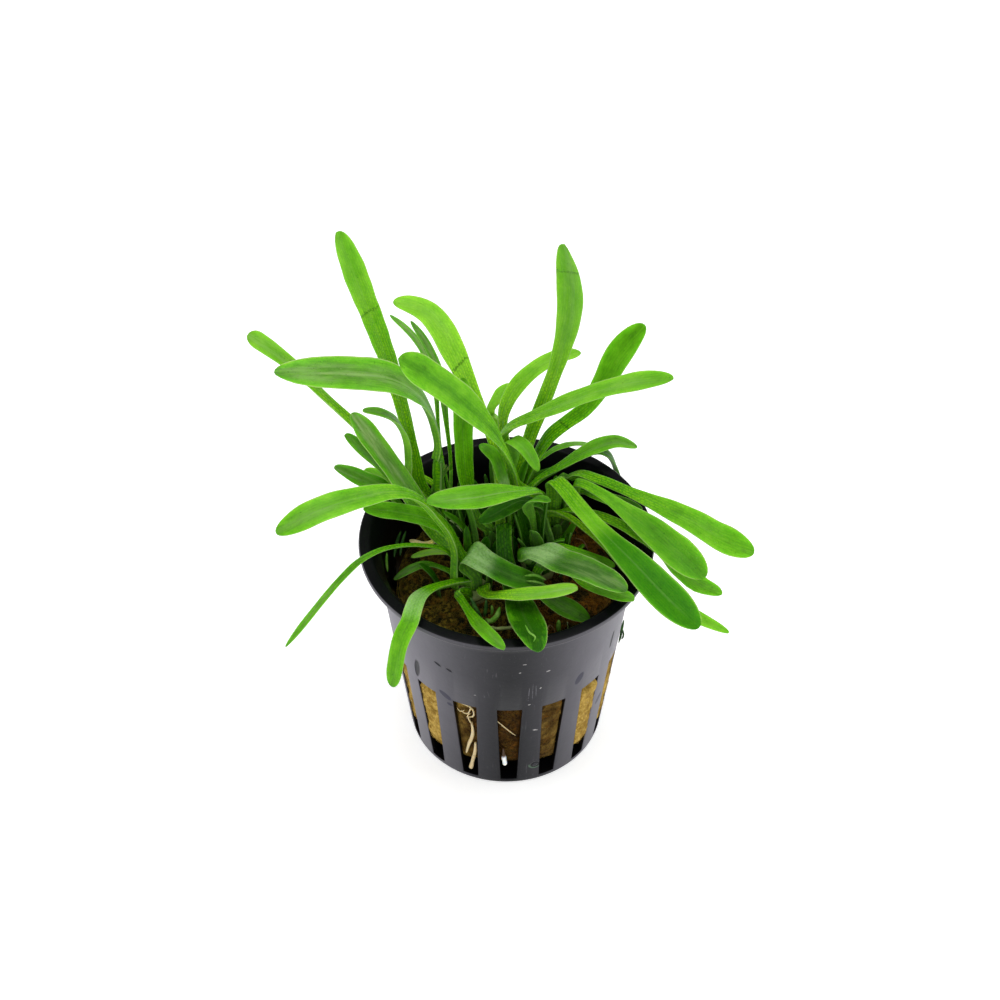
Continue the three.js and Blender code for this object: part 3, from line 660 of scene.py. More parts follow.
# The leaves
# Strap leaves, fleshy and a little waxy: a flattened stalk that sheathes the crown widens to a blade
# with a shallow channel, a keel underneath, thin edges, a blunt tip and fine lengthwise veins.
LEAF_STEP = 0.8
AROUND = 24
SHEATH_LENGTH = 5.5
SHEATH_WIDTH = 2.9
FOOT_DEPTH = 1.3
# For each leaf: its tone from deep green to light, its bloom of wax, which is partly a painted sky
# reflection, its midrib from dark (-1) to pale (1), as shares of its length the place of an old fold
# and of a painted highlight patch, how much its outer half deepens, and how far up the net of cells
# reaches, where 1 is the usual.
# The tones are the leaves' own greens, and the lowest also paint the shade on leaves deep in the rosette.
LEAF_LOOKS = {
    "front_long_left": (0.52, 1.5, 0.3), "front_bent": (0.2, 0.1, 0.1, 0, 0.5, 0.7),
    "front_big_left": (0.55, 0.35, 0.3), "front_under_left": (0.3, 0, 0.2),
    "front_thin_left": (0.5, 0.4, 0), "front_inner_left": (0.25, 0.5, 0),
    "front_over_rim": (0.5, 0.1, -0.2, 0, 0.5), "front_small": (0.4, 0.2, 0.2),
    "front_level": (0.75, 0.7, 0.2), "front_pale": (1, 1, 0),
    "left_tall": (0.62, 0.1, 0.15, 0.745, 0, 0, 1.3), "left_hooked": (0.55, 0.4, 0.5),
    "left_level": (0.44, 0.7, 0.8), "left_far": (0.7, 0.5, 0.1, 0, 0, 0, 1.25),
    "left_behind": (0.5, 0.4, 0.3), "left_dark": (0.45, 0.6, 0.1), "left_light": (0.9, 0.3, 0.3),
    "left_thin_tall": (0.5, 1.2, 0), "left_thin_back": (0.5, 1.2, 0), "left_yellow": (0.7, 0, 0),
    "middle_upright": (0.4, 0, 0.1), "middle_tall": (0.8, 0.2, 0.1, 0.68, 0, 0, 1.15),
    "middle_drooping": (0.02, 0, 0.1), "middle_curved": (0.3, 0.1, 0.1, 0, 0.55),
    "centre_glossy": (0.12, 0.6, -0.1, 0, 0.4), "centre_dark_front": (0.16, 0.3, 0),
    "centre_under": (0.4, 0.2, 0.1), "centre_thin": (0.45, 0.1, 0), "centre_dark_tip": (0, 0, 0.2),
    "centre_hooked": (0.3, 0.1, 0), "right_arching": (0.55, 0.1, -0.9),
    "right_long": (0.62, 0, 0.25, 0, 0, 1.4, 0.6), "right_level": (0.5, 0.3, 0.7),
    "right_low": (0.7, 0.1, 0.1, 0, 0, 0, 0.7), "right_side": (0.5, 0.1, 0.1),
    "right_broad": (0.55, 0.1, -0.2, 0, 0, 0.5, 0.6), "right_short": (0.4, 0.1, 0),
    "right_far": (0.55, 0.1, 0.1), "rear_long_right": (0.6, 0.3, 0.3),
    "rear_tall": (0.68, 0.3, -0.2, 0.9), "rear_arched": (0.75, 0.1, 0.2),
    "rear_upper_right": (0.45, 0, -0.2, 0.45), "rear_over_rim": (0.15, 0, 0, 0, 0, 0.5),
    "rear_thin": (0.5, 0.6, 0), "rear_light": (0.8, 0.1, 0.1), "rear_short": (0.55, 0.2, 0.1),
    "rear_medium": (0.45, 0.3, 0.2),
}
LEAF_MARKS = ("share", "across", "under", "tone", "bloom_and_sheen", "midrib", "fold", "highlight_patch", "deepens", "netted")
USUAL_LOOK = (0.5, 0, 0, 0, 0, 0, 1)
NOWHERE = 99  # farther off than any point of a leaf from its fold, and higher than any root


def merged_copy(node):
    """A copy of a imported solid, whose loose triangles share their corners."""
    bm = bmesh.new()
    bm.from_mesh(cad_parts[node].data)
    bmesh.ops.remove_doubles(bm, verts=bm.verts, dist=0.001 * MM)
    return bm


def rings_of(node):
    """The six-cornered rings of a leaf's solid in order from its foot, and the point at its tip."""
    bm = merged_copy(node)
    bm.normal_update()
    foot = next(v for v in bm.verts if all(f.normal.z < -0.99 for f in v.link_faces))
    seen, level, rings = {foot}, {foot}, []
    while level:
        level = {e.other_vert(v) for v in level for e in v.link_edges} - seen
        seen |= level
        if len(level) == 6:
            ring = [min(level, key=lambda v: v.index)]
            while len(ring) < 6:
                ring.append(next(
                    v for v in level
                    if v not in ring and any(e.other_vert(v) is ring[-1] for e in v.link_edges)
                ))
            rings.append([v.co / MM for v in ring])
        elif level:
            tip = next(iter(level)).co / MM
    bm.free()
    return rings, tip


def ring_width(ring):
    return max((ring[k + 3] - ring[k]).length for k in range(3))


# Where a station's row holds its width, thickness and lifted edge, after its middle, side and face.
WIDE, THICK, LIFT = 9, 10, 11
SIDEWAYS = Vector((-1, 0.8, 0))  # across a leaf is counted this way, which slants the old folds too


def stations_of(node):
    """Rows of middle, side, face, width, thickness and lifted edge, one for each ring of the solid."""
    rings, tip = rings_of(node)
    rows = [None] * len(rings)
    widest = max(range(len(rings)), key=lambda i: ring_width(rings[i]))
    for order in (range(widest, len(rings)), range(widest, -1, -1)):
        side = None
        for i in order:
            ring = rings[i]
            pairs = [
                (ring[k], ring[k + 3], ring[k + 1], ring[k + 2], ring[k - 1], ring[k - 2]) for k in range(3)
            ]
            if side is None:
                pair = max(pairs, key=lambda p: (p[1] - p[0]).length)
            else:
                pair = max(pairs, key=lambda p: abs((p[1] - p[0]).normalized().dot(side)))
            start, end, *flats = pair
            if (end - start).dot(side or SIDEWAYS) < 0:
                start, end = end, start
            side = (end - start).normalized()
            edges = (start + end) / 2
            upper, lower = sorted(
                ((flats[0] + flats[1]) / 2, (flats[2] + flats[3]) / 2), key=lambda p: (p - edges).length
            )
            face = (upper - lower).normalized()
            thick = (upper - lower).length
            lift = ((edges - lower).dot(face) - 0.7 * thick) / 0.73
            rows[i] = [*(edges - face * lift), *side, *face, (end - start).length, thick, lift]
    return np.array(rows, float), np.array(tip)


def lengths_along(points):
    """How far along its line each point is."""
    return np.concatenate([[0], np.cumsum(np.linalg.norm(np.diff(points, axis=0), axis=1))])


def smooth_through(knots, rows, places):
    """The rows between their knots, on cubic curves that pass through each of them."""
    slopes = np.gradient(rows, knots, axis=0)
    at = np.clip(np.searchsorted(knots, places) - 1, 0, len(knots) - 2)
    gap = (knots[at + 1] - knots[at])[:, None]
    t = (places[:, None] - knots[at][:, None]) / gap
    return (
        (2 * t**3 - 3 * t**2 + 1) * rows[at] + (t**3 - 2 * t**2 + t) * gap * slopes[at]
        + (3 * t**2 - 2 * t**3) * rows[at + 1] + (t**3 - t**2) * gap * slopes[at + 1]
    )


def fine_stations(rows, tip):
    """Close stations from the solid's few, with the blunt tip as part of an oval."""
    body = rows[:-2]
    knots = lengths_along(rows[:, :3])
    length = knots[-1] + np.linalg.norm(tip - rows[-1, :3])
    blunt = knots[len(body) - 1]
    even_places = np.linspace(0, blunt, max(14, round(length / LEAF_STEP)))
    round_places = blunt + (length - blunt) * np.sin(np.linspace(0, math.pi / 2, 10))[1:]
    places = np.concatenate([even_places, round_places])
    fine = smooth_through(knots[: len(body)], body, np.minimum(places, blunt))
    fine[:, :3] = smooth_through(np.append(knots, length), np.vstack([rows[:, :3], tip]), places)
    over = np.clip((places - blunt) / (length - blunt), 0, 1)
    rounding = np.sqrt(np.clip(1 - over**2, 0, 1))
    fine[:, WIDE] *= rounding
    fine[:, THICK] *= 0.25 + 0.75 * rounding
    fine[:, LIFT] *= rounding
    return fine, places


def grow_leaf(bm, stations, crown, look, seed):
    """Adds one leaf to bm: a sleeve round its stations, wrapped at its foot round the crown's middle."""
    fine, places = stations
    tone, bloom_and_sheen, midrib, fold, highlight_patch, deepens, netted = (*look, *USUAL_LOOK[len(look):])
    wide, thick, lift = fine[:, WIDE], fine[:, THICK], fine[:, LIFT]
    length = places[-1]
    share = places / length
    along = np.gradient(fine[:, :3], places, axis=0)
    along /= np.linalg.norm(along, axis=1)[:, None]
    side = fine[:, 3:6] - along * np.sum(fine[:, 3:6] * along, axis=1)[:, None]
    side /= np.linalg.norm(side, axis=1)[:, None]
    face = np.cross(along, side)
    face *= np.sign(np.sum(face * fine[:, 6:9], axis=1))[:, None]

    # The foot wraps round the crown and runs down into it.
    inward = np.sign(np.dot(face[0], (crown - fine[0, :3]) * (1, 1, 0)))
    hug = np.clip(1 - places / min(SHEATH_LENGTH, 0.4 * length), 0, 1) ** 1.5
    width = np.maximum(wide, wide + hug * (min(SHEATH_WIDTH, 2.2 * wide[0]) - wide[0]))
    curl = hug * inward * 0.16 * width
    middle = fine[:, :3].copy()
    middle[:, 2] -= FOOT_DEPTH * np.clip(1 - places / 2.5, 0, 1) ** 2

    # Small waves along the edges and a slow sway, different in each leaf.
    dice = random.Random(seed)
    beat, phase = dice.uniform(0.35, 0.6), dice.uniform(0, 6.3)
    waves = 0.09 * np.sin(beat * places + phase) + 0.05 * np.sin(2.3 * beat * places + 2 * phase)
    waves *= np.clip(wide / 5, 0, 1) * np.clip((share - 0.25) * 3, 0, 1)
    width *= 1 + 0.025 * np.sin(0.8 * beat * places + 3 * phase)

    # The sleeve is a grid that closes round the section, and both its ends shrink to a point.
    blade_map = bm.loops.layers.uv.verify()
    marks = {name: bm.verts.layers.float.get(name) for name in LEAF_MARKS}
    grid = bmesh.ops.create_grid(bm, x_segments=len(places) - 1, y_segments=AROUND, size=0.5)["verts"]
    cells = {}
    for v in grid:
        turn = (v.co.y + 0.5) * 2 * math.pi
        cells[v] = (round((v.co.x + 0.5) * (len(places) - 1)), -math.cos(turn), math.sin(turn))
    for v in grid:
        for loop in v.link_loops:
            loop[blade_map].uv = (cells[v][1] * width[cells[v][0]] / 2, places[cells[v][0]])
    for v, (i, across, up) in cells.items():
        blade = min(1, wide[i] / 4)
        body = (1 - across**2) ** (0.5 + 0.35 * blade)
        if up >= 0:
            height = 0.34 * thick[i] * body - 0.17 * thick[i] * blade * math.exp(-((across / 0.2) ** 2))
        else:
            keel = math.exp(-((across / (0.62 - 0.28 * blade)) ** 2))
            height = -0.34 * thick[i] * (body + keel * body)
        height += (lift[i] * 1.25 + curl[i]) * across**2 + waves[i] * across * abs(across)
        spot = middle[i] + side[i] * across * width[i] / 2 + face[i] * height
        if i == 0:
            spot = middle[0] - along[0] * 0.2
        if i == len(places) - 1:
            spot = middle[-1]
        v.co = Vector(spot) * MM
        here = {
            "share": share[i], "across": across, "under": up < -0.05, "tone": tone, "bloom_and_sheen": bloom_and_sheen,
            "midrib": midrib, "fold": places[i] - fold * length + 0.6 * across if fold else NOWHERE,
            "highlight_patch": math.exp(-(((share[i] - highlight_patch) / 0.1) ** 4)) if highlight_patch else 0, "deepens": deepens,
            "netted": netted,
        }
        for name, layer in marks.items():
            v[layer] = here[name]
    bmesh.ops.remove_doubles(bm, verts=grid, dist=0.002 * MM)


def new_leaves():
    """An empty shape with the map and the marks that the leaf finish reads."""
    bm = bmesh.new()
    bm.loops.layers.uv.new("blade")
    for name in LEAF_MARKS:
        bm.verts.layers.float.new(name)
    return bm


def crown_middle(node):
    low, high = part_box(node)
    return np.array(((low.x + high.x) / 2, (low.y + high.y) / 2, high.z)) / MM


# The colour of the painted highlight patches, where the overhead light would glare on the waxy skin.
HIGHLIGHT_COLOUR = (0.31, 0.50, 0.19, 1)


def leaf_finish(name, deep, middle, light, pale):
    """Leaf skin. The marks choose among three greens, and pale is its ribs, its edges with their painted
    glow and its painted highlight patches.
    """
    finish = Finish(name)
    place = finish.millimetres()
    off, along, _ = finish.axes(finish.node("UVMap", {"uv_map": "blade"}, {}))
    share, across, under, tone, bloom_and_sheen, midrib, fold, highlight_patch, deepens, netted = (
        finish.node("Attribute", {"attribute_name": mark}, {}, "Fac") for mark in LEAF_MARKS
    )
    patches = finish.cloud(place, 0.17, 3)
    mottle = finish.cloud(place, 0.7, 3, 0.6)
    grain = finish.cloud(place, 2.4, 3, 0.6)
    fibres = finish.cloud(finish.point(off * 3.0, along * 0.3, tone * 13), 1.0, 3, 0.6)
    sheen = finish.cloud(finish.point(off * 0.9, along * 0.13, tone * 7), 1.0, 3).rise(0.36, 0.66)
    stalk = 1 - (share / netted).rise(0.32, 0.76)
    cells = finish.node("TexBrick", {"offset": 0.5}, {
        "Vector": finish.point(along + mottle * 1.6 + grain * 0.6, off + fibres * 0.4 + mottle * 0.5, 0.0),
        "Scale": 1.0, "Mortar Size": 0.15, "Mortar Smooth": 0.7, "Brick Width": 0.95, "Row Height": 0.52,
    }, "Fac")
    middle_band = (1 - abs(across).rise(0.2, 0.75)) * (1 - stalk)

    # The green is yellower in the stalk, where dark lines part bright cells, and a pale bloom of wax, partly
    # a painted reflection of the sky, lies on the blade.
    shade = tone + (patches - 0.5) * 0.5 + (mottle - 0.5) * 0.4 + (fibres - 0.5) * 0.45
    # Painted shade: the green darkens towards the foot, deep in the rosette.
    shade = shade - (1 - share.rise(0, 0.2)) * 0.2 - middle_band * (0.06 + bloom_and_sheen * 0.16)
    shade = shade + abs(across).rise(0.5, 0.9) * 0.08
    colour = finish.ramp(shade, (0, deep), (0.5, middle), (1, light))
    colour = finish.tint(stalk * 0.8, colour, (1.0, 1.0, 0.2, 1))
    colour = finish.tint(cells * (0.12 + stalk * 0.58) * (0.5 + mottle), colour, (0.36, 0.56, 0.2, 1))
    glints = (1 - cells) * grain.rise(0.42, 0.62) * (0.12 + stalk * 0.5)
    colour = finish.tint(glints, colour, (1.9, 1.4, 0.8, 1))
    outer_half = share.rise(0.44, 0.62) * (0.55 + mottle * 0.9) * (1 - abs(across).rise(0.6, 1) * 0.5)
    colour = finish.tint((deepens * outer_half).least(1), colour, (0.28, 0.5, 0.12, 1))
    wax_and_sheen = bloom_and_sheen * (0.12 + middle_band * 0.34) * (0.35 + sheen)
    colour = finish.blend(wax_and_sheen * (1 - stalk * 0.8), colour, pale)

    # Over it come the midrib, the thin edges with a painted glow of light through them, the old fold, the
    # painted highlight patch, pits and flecks.
    rib_line = (1 - abs(across).rise(0.02, 0.1)) * (1 - share.rise(0.85, 0.97))
    rib_band = 1 - abs(across + (patches - 0.5) * 0.5).rise(0.05, 0.4)
    colour = finish.blend(rib_line * midrib.most(0) * 0.45, colour, pale)
    colour = finish.tint(rib_band * (0 - midrib).most(0) * 0.6, colour, (0.35, 0.55, 0.3, 1))
    # Painted light: the pale thin edges stand for light shining through them.
    edge = abs(across).rise(0.9, 0.99)
    colour = finish.blend(edge * (0.28 + bloom_and_sheen * 0.35 + tone.least(0.6) * 0.45), colour, pale)
    colour = finish.tint(share.rise(0.965, 1) * abs(across).rise(0.1, 0.9) * 0.7, colour, (0.5, 0.5, 0.5, 1))
    crease = 1 - abs(fold + (grain - 0.5) * 1.6 + (fibres - 0.5) * 0.5).rise(0.04, 0.26)
    colour = finish.tint(crease * (0.35 + patches.rise(0.4, 0.6) * 0.35), colour, (0.25, 0.35, 0.12, 1))
    colour = finish.blend(highlight_patch * (0.25 + sheen * 0.35 + grain.rise(0.3, 0.6) * 0.25), colour, HIGHLIGHT_COLOUR)
    pits = finish.cloud(place, 3.2, 1).rise(0.68, 0.75)
    flecks = finish.cloud(finish.point(off * 2.6, along * 1.1, tone * 5), 1.0, 2).rise(0.7, 0.78)
    colour = finish.tint(pits * 0.6, colour, (0.3, 0.4, 0.3, 1))
    colour = finish.blend(flecks * 0.3, colour, pale)
    colour = finish.blend(under * 0.1, colour, pale)
    height = fibres * 0.5 - cells * (0.15 + stalk * 0.4) + grain * 0.3 - crease
    return finish.done(
        Base_Color=colour, Roughness=0.34 + grain * 0.14 + bloom_and_sheen * 0.1 + under * 0.08, IOR=1.16,
        Coat_Weight=bloom_and_sheen * 0.2 + highlight_patch * 0.2, Coat_Roughness=0.3, Coat_IOR=1.35,
        Normal=finish.bump(height, 0.09),
        Subsurface_Weight=0.35, Subsurface_Radius=(0.5, 1.0, 0.15), Subsurface_Scale=1.1 * MM,
    )


GREEN = leaf_finish(
    "living_leaf", (0.018, 0.100, 0.001, 1), (0.115, 0.39, 0.006, 1), (0.28, 0.62, 0.035, 1),
    (0.33, 0.49, 0.17, 1),
)
FADED = leaf_finish(
    "faded_leaf", (0.42, 0.34, 0.09, 1), (0.72, 0.62, 0.24, 1), (0.88, 0.80, 0.42, 1), (0.88, 0.84, 0.6, 1)
)
WITHERED = 0.6  # the share of its width that the yellow leaf has kept
grown = []
for seed, node in enumerate(sorted(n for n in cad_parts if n.startswith("leaf_"))):
    name = node[len("leaf_"):]
    leaf = new_leaves()
    crown = crown_middle("crown_" + name.split("_")[0])
    stations = fine_stations(*stations_of(node))
    if name == "left_yellow":
        stations[0][:, WIDE] *= WITHERED
    grow_leaf(leaf, stations, crown, LEAF_LOOKS[name], seed)
    bmesh.ops.recalc_face_normals(leaf, faces=leaf.faces)
    grown.append(bvhtree.BVHTree.FromBMesh(leaf))
    piece(name + "_leaf", leaf, FADED if name == "left_yellow" else GREEN, "leaf", node)


# The young leaves
# Short new leaves that stand in the heart of each rosette, close together and deep green. Each is the
# same kind of sleeve as a grown leaf, and stays clear of those.
# For each crown: how many there are at most, and the length of the longest.
YOUNG_LEAVES = {
    "front": (7, 9), "left": (15, 13), "middle": (22, 20),
    "centre": (18, 15), "right": (10, 10), "rear": (14, 13),
}
YOUNG_TRIES = 160
YOUNG_FOOT = 41.3
YOUNG_REACH = 15.5
OFF_CROWN = 3.2  # beyond this they stand on the wool


def young_stations(foot, out, length, width, lean):
    """Stations of a leaf that rises from foot and leans outwards the way of out."""
    rows = []
    side = np.array((-out[1], out[0], 0.0))
    for share in (0, 0.14, 0.3, 0.46, 0.62, 0.76, 0.88, 0.96, 1):
        turn = lean * share
        up = np.array((0, 0, 1.0))
        spot = foot + length * share * (up * math.cos(turn) + out * math.sin(turn))
        face = up * math.sin(turn) - out * math.cos(turn)
        grown_width = width * (0.6 + 0.4 * math.sin(math.pi * share)) * (1 - 0.6 * max(0, share - 0.6))
        rows.append([*spot, *side, *face, grown_width, 0.36 * width, 0.06 * width])
    return fine_stations(np.array(rows[:-1]), np.array(rows[-1][:3]))


def young_leaves(node, seed, kept):
    """Young leaves about one crown. kept holds the middle lines of those that already stand."""
    dice = random.Random(seed)
    middle = crown_middle(node)
    most, longest = YOUNG_LEAVES[node[len("crown_"):]]
    bm, count = new_leaves(), 0
    for _ in range(YOUNG_TRIES):
        angle, reach = dice.uniform(0, 2 * math.pi), dice.uniform(0.4, 6.2)
        out = np.array((math.cos(angle), math.sin(angle), 0.0))
        length, width = dice.uniform(6, longest), dice.uniform(1.4, 2.8)
        foot = middle + out * reach
        if reach > OFF_CROWN:
            foot[2] = YOUNG_FOOT
        if math.hypot(*foot[:2]) > YOUNG_REACH:
            continue
        stations = young_stations(foot, out, length, width, dice.uniform(0.0, 0.5))
        spots = [Vector(row) for row in stations[0][4::3, :3]]
        near = (0.25 * width + 0.2) * MM
        clear = all(tree.find_nearest(p * MM)[3] > near for tree in grown for p in spots)
        apart = all((p - q).length > 1.1 for line in kept for p in spots for q in line)
        if clear and apart:
            kept.append(spots)
            count += 1
            look = (dice.uniform(-0.15, 0.22), 0, dice.uniform(-0.3, 0.3))
            grow_leaf(bm, stations, middle, look, dice.random())
        if count == most:
            break
    bmesh.ops.recalc_face_normals(bm, faces=bm.faces)
    return bm


kept = []
for seed, node in enumerate(sorted(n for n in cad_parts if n.startswith("crown_"))):
    piece(node.replace("crown", "young_leaves"), young_leaves(node, seed, kept), GREEN, "leaf")


# The roots
# Smooth cream roots have grown out of the wool into two of the slots. The thick ones taper upwards
# and end in a rounded tip, and the thin ones curl and fork.
ROOT_STEP = 0.35
ROOT_INSET = 0.55  # how far in from the wall's outer skin the middle of a fine root runs
ROOT_TIP, ROOT_ROUNDING = 0.94, 0.0601  # where along a root its tip begins, and how long that is
# Roots with no solid of their own: half thickness, and points of degrees round the wall and height.
FINE_ROOTS = (
    (0.12, (-5.4, 21.9), (-3.2, 20.7), (-0.4, 19.2), (2.6, 17.6), (5.1, 16.4)),
    (0.13, (-23.6, 22.9), (-22.2, 22.2), (-20.6, 22.3), (-18.9, 23.6), (-18.2, 25.1)),
    (0.14, (-18.4, 22.7), (-20.0, 22.0), (-19.9, 20.6), (-18.6, 19.2), (-17.5, 17.8)),
    (0.11, (-26.0, 23.2), (-24.4, 22.4), (-22.9, 22.6), (-21.9, 23.3)),
)


def middle_line(node):
    """The middle of a five-sided tube from its upper end down, and its half thickness."""
    bm = merged_copy(node)
    bmesh.ops.dissolve_limit(bm, angle_limit=0.002, verts=bm.verts, edges=bm.edges)
    end = max((f for f in bm.faces if len(f.verts) == 5), key=lambda f: f.calc_center_median().z)
    level = set(end.verts)
    radius = (end.verts[0].co - end.calc_center_median()).length / MM
    seen, line = set(level), []
    while level:
        line.append(sum((v.co for v in level), Vector()) / len(level) / MM)
        level = {e.other_vert(v) for v in level for e in v.link_edges} - seen
        seen |= level
    bm.free()
    return line, radius


def eased(line, step):
    """The same line on a smooth curve, with points about a step apart."""
    points = np.array([list(p) for p in line])
    knots = lengths_along(points)
    return smooth_through(knots, points, np.linspace(0, knots[-1], max(6, round(knots[-1] / step))))


def at_wall(degrees, height):
    out, turn = wall_radius(height) - ROOT_INSET, math.radians(degrees)
    return (out * math.sin(turn), -out * math.cos(turn), height)


def root_finish(name, skin, stain, hidden=NOWHERE):
    """Smooth skin with a few stains. Above the height hidden it is as brown as the wool round it."""
    finish = Finish(name)
    place = finish.millimetres()
    hairs = finish.cloud(finish.stretched(place, 1, 1, 0.3), 5.0, 3)
    dirt = finish.cloud(place, 0.9, 3).rise(0.5, 0.72)
    colour = finish.blend(hairs * 0.5, skin, tuple(min(1, 1.3 * c) for c in skin[:3]) + (1,))
    colour = finish.blend(dirt * 0.5, colour, stain)
    height = finish.axes(place)[2]
    colour = finish.blend(height.rise(hidden, hidden + 0.9), colour, (0.05, 0.022, 0.004, 1))
    return finish.done(
        Base_Color=colour, Roughness=0.36 + hairs * 0.2, IOR=1.35, Normal=finish.bump(hairs, 0.06),
        Subsurface_Weight=0.4, Subsurface_Radius=(0.8, 0.6, 0.3), Subsurface_Scale=0.8 * MM,
    )


def root(node, ends, finish):
    """One root along its solid's middle. ends are the shares of full thickness from top to tip."""
    line, radius = middle_line(node)
    line = eased(line, ROOT_STEP)
    at = np.linspace(0, 1, len(line))
    thick = radius * np.interp(at, np.linspace(0, 1, len(ends)), ends)
    thick *= np.sqrt(np.clip(1 - ((at - ROOT_TIP) / ROOT_ROUNDING).clip(0) ** 2, 0.02, 1))
    thick *= 1 + 0.05 * np.sin(5 * at + radius) + 0.03 * np.sin(23 * at)
    tubes(node.replace("root_", "") + "_root", [line], [list(thick)], finish, "root", node, sides=4)


cream = root_finish("cream_root", (0.58, 0.46, 0.25, 1), (0.32, 0.20, 0.08, 1))
white = root_finish("white_root", (0.92, 0.92, 0.88, 1), (0.62, 0.58, 0.46, 1), 8.6)
root("root_curled", (0.35, 0.55, 0.65, 0.6, 0.5), cream)
root("root_thick_upper", (0.4, 0.7, 0.85, 0.7, 0.4), cream)
root("root_thick_lower", (0.4, 0.65, 0.75, 0.8, 1.0), cream)
root("root_front_tip", (0.3, 0.5, 0.8, 1.0, 1.0, 0.9), white)
fine_lines = [eased([at_wall(*p) for p in line], ROOT_STEP) for _, *line in FINE_ROOTS]
tubes("fine_roots", fine_lines, [thin for thin, *_ in FINE_ROOTS], cream, "root", sides=2)


# The cut stem and the litter
# Scraps lie on the wool between the rosettes: a cut piece of old stem, frayed sheaths, stubs of
# leaves, dead rootlets and a few bits of moss that cling to the wall.
def scrap_finish(name, skin, tip):
    finish = Finish(name)
    place = finish.millimetres()
    fibre = finish.cloud(finish.stretched(place, 1.2, 1.2, 0.4), 3.0, 4)
    blotch = finish.cloud(place, 0.8, 3).rise(0.4, 0.65)
    colour = finish.blend(blotch, skin, tip)
    colour = finish.tint(fibre.rise(0.5, 0.7) * 0.6, colour, (0.5, 0.45, 0.35, 1))
    return finish.done(
        Base_Color=colour, Roughness=0.42 + fibre * 0.3, IOR=1.35, Normal=finish.bump(fibre, 0.08),
    )


def frayed(line, count, wide, dice):
    """Strands that run close together along a line and part at its end."""
    strands = []
    for _ in range(count):
        off = Vector((dice.uniform(-1, 1), dice.uniform(-1, 1), dice.uniform(-0.6, 0.6))) * wide
        spots = [Vector(p) + off * (0.5 + 0.9 * i / (len(line) - 1)) for i, p in enumerate(line)]
        strands.append(eased(spots, 0.6))
    return strands


straw = scrap_finish("dry_straw", (0.34, 0.38, 0.08, 1), (0.60, 0.58, 0.26, 1))
sap_green = scrap_finish("green_scrap", (0.11, 0.33, 0.02, 1), (0.22, 0.45, 0.07, 1))
pale_green = scrap_finish("pale_scrap", (0.28, 0.46, 0.12, 1), (0.48, 0.62, 0.30, 1))
faded_green = scrap_finish("cut_stem", (0.14, 0.24, 0.04, 1), (0.30, 0.38, 0.12, 1))
dull_green = scrap_finish("dark_scrap", (0.012, 0.055, 0.006, 1), (0.035, 0.12, 0.012, 1))
bark = scrap_finish("brown_scrap", (0.11, 0.045, 0.02, 1), (0.26, 0.15, 0.06, 1))

old_line, old_radius = middle_line("old_stem")
old_line = eased(old_line, 0.5)
old_thick = [
    old_radius * (0.85 + 0.12 * math.sin(1.7 * i) + 0.05 * math.sin(4.1 * i)) for i in range(len(old_line))
]
tubes("old_stem_piece", [old_line], [old_thick], faded_green, "root", "old_stem", sides=4)

dice = random.Random(11)
SHEATH_LINE = ((-14.8, 12.6, 47.6), (-13.7, 12.6, 50.2), (-12.4, 12.7, 53), (-11.2, 12.5, 56))
tubes("frayed_sheath", frayed(SHEATH_LINE, 9, 0.42, dice), [0.16] * 9, sap_green, "crown", sides=1)
tubes("frayed_fibrils", frayed(SHEATH_LINE[1:], 7, 0.7, dice), [0.05] * 7, straw, "crown", sides=1)
# Scraps, each with its half thickness and the points of its middle.
GREEN_SCRAPS = (
    (0.17, (3.2, -25.9, 54.2), (4.0, -27.8, 54.3), (4.9, -28.5, 54.0), (4.6, -29.3, 53.7)),
    (0.28, (3.3, -10.2, 50.0), (5.5, -10.7, 50.6), (7.1, -11.2, 50.0)),
    (0.22, (3.6, -10.9, 49.4), (5.6, -11.6, 49.8), (7.6, -11.7, 48.8)),
    (0.5, (-3.8, -14.4, 43.0), (-3.0, -15.4, 43.4), (-1.9, -15.2, 44.4), (-1.2, -14.2, 46.0)),
    (0.45, (9.5, -17.6, 42.8), (9.4, -17.5, 44.4), (9.4, -17.4, 46.0)),
    (0.30, (-2.8, -13.3, 42.6), (-2.6, -13.6, 44.4), (-2.7, -14.0, 46.2)),
    (0.28, (-22.4, -0.1, 45.6), (-22.5, -1.1, 43.8), (-22.3, -2.0, 42.4)),
)
DARK_SCRAPS = (
    (0.42, (-6.5, -13.6, 47.8), (-5.6, -14.3, 45.6), (-4.5, -14.7, 43.2)),
    (0.36, (-3.7, -13.2, 46.8), (-3.8, -13.7, 44.8), (-4.1, -14.0, 43.0)),
    (0.34, (-20.1, 7.2, 44.0), (-20.8, 4.2, 43.8), (-21.2, 1.2, 43.0)),
    (0.30, (-19.1, 6.2, 45.0), (-19.7, 3.8, 44.4), (-20.1, 1.5, 43.0)),
    (0.27, (22.6, -3.5, 30.6), (22.3, -3.9, 28.6), (22.1, -4.2, 26.6), (21.8, -4.5, 25.0)),
    (0.18, (22.5, -4.2, 28.4), (22.6, -4.6, 27.2), (22.3, -4.5, 26.0)),
)
PALE_SCRAPS = (
    (0.10, (10.9, -17.9, 46.2), (11.1, -17.7, 44.6), (11.0, -17.4, 43.0)),
    (0.14, (-11.1, 8.9, 45.0), (-10.4, 7.4, 46.4), (-9.2, 6.4, 46.0), (-8.2, 5.6, 45.0)),
    (0.14, (-10.5, 2.7, 45.0), (-9.9, 1.6, 46.0), (-9.2, 0.3, 45.8), (-8.5, -0.7, 45.0)),
)
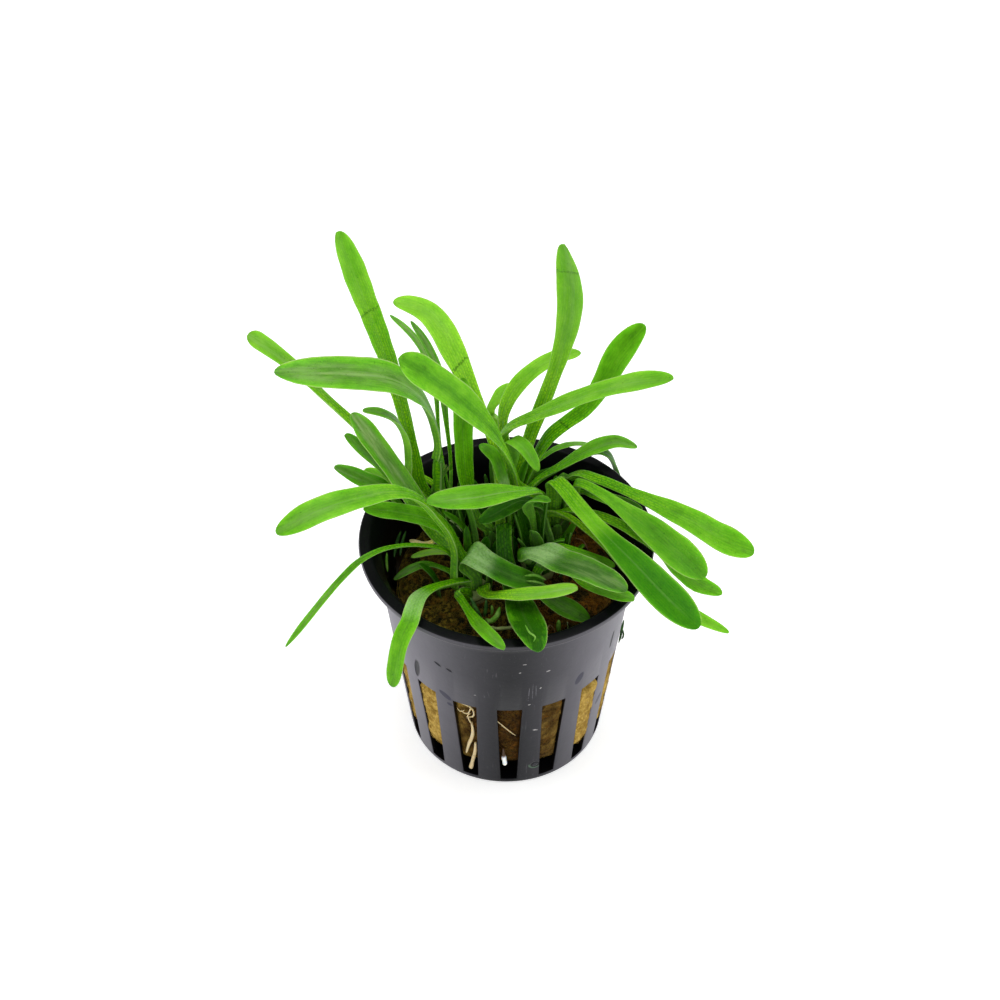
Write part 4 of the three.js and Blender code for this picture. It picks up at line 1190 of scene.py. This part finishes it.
BROWN_SCRAPS = (
    (0.14, (7.1, -18.1, 43.2), (7.9, -17.0, 44.2), (9.0, -18.1, 43.2)),
    (0.12, (5.6, -17.4, 43.0), (6.6, -18.4, 43.6), (7.4, -19.0, 43.0)),
    (0.16, (-17.6, -6.8, 42.6), (-16.2, -8.2, 43.0), (-14.9, -9.0, 42.6)),
    (0.13, (12.6, 6.8, 42.6), (14.6, 5.4, 43.1), (15.6, 3.2, 42.6)),
)
for name, scraps, finish in (
    ("green_scraps", GREEN_SCRAPS, sap_green), ("dark_scraps", DARK_SCRAPS, dull_green),
    ("pale_scraps", PALE_SCRAPS, pale_green), ("brown_scraps", BROWN_SCRAPS, bark),
):
    lines = [eased([Vector(p) for p in spots], 0.3) for _, *spots in scraps]
    tubes(name, lines, [thick for thick, *_ in scraps], finish, "root", sides=2)


# The camera, the light and the floor
# A pale studio sweep under broad soft light, seen from above at the height of a raised hand.
def lamp(name, place, aim, size, power):
    light = bpy.data.lights.new(name, "AREA")
    light.shape = "RECTANGLE"
    light.size, light.size_y = size
    light.energy = power
    made = placed(name, light)
    made.location = place
    made.rotation_euler = (Vector(aim) - Vector(place)).to_track_quat("-Z", "Y").to_euler()


def floor_finish():
    finish = Finish("white_sweep")
    shade = finish.cloud(finish.millimetres(), 0.02, 2)
    colour = finish.blend(shade, (0.93, 0.93, 0.93, 1), (0.95, 0.95, 0.95, 1))
    return finish.done(
        Base_Color=colour, Roughness=0.6, Emission_Color=(1, 1, 1, 1), Emission_Strength=0.42
    )


floor_mesh = bmesh.new()
bmesh.ops.create_grid(floor_mesh, x_segments=8, y_segments=8, size=4)
bmesh.ops.translate(floor_mesh, verts=floor_mesh.verts, vec=(0, 0, -0.02 * MM))
floor_data = bpy.data.meshes.new("floor")
floor_mesh.to_mesh(floor_data)
floor_data.materials.append(floor_finish())
floor = placed("floor", floor_data)

world = bpy.data.worlds.new("studio")
world.use_nodes = True
world.node_tree.nodes["Background"].inputs["Color"].default_value = (1, 1, 1, 1)
world.node_tree.nodes["Background"].inputs["Strength"].default_value = 0.55
bpy.context.scene.world = world
lamp("overhead", (0.05, 0.06, 0.55), (0, 0, 0.05), (0.4, 0.3), 1.25)
lamp("front", (0.02, -0.52, 0.42), (0, 0, 0.06), (0.5, 0.3), 0.9)
lamp("left", (-0.5, -0.1, 0.3), (0, 0, 0.04), (0.3, 0.5), 0.5)
lamp("right", (0.5, -0.05, 0.3), (0, 0, 0.04), (0.3, 0.5), 0.5)

LENS, SENSOR = 65, 36
camera_data = bpy.data.cameras.new("camera")
camera_data.lens, camera_data.sensor_width = LENS, SENSOR
camera = placed("camera", camera_data)
VIEW_PITCH = math.radians(44.4)
VIEW_AIM = Vector((-1.2, 0, 59.3)) * MM
VIEW_DISTANCE = 329 * MM
view_back = Vector((0, -math.cos(VIEW_PITCH), math.sin(VIEW_PITCH)))
camera.location = VIEW_AIM + view_back * VIEW_DISTANCE
camera.rotation_euler = (math.pi / 2 - VIEW_PITCH, 0, 0)
camera_data.clip_start, camera_data.clip_end = 0.01, 10
bpy.context.scene.camera = camera
bpy.context.scene.view_settings.view_transform = "Standard"
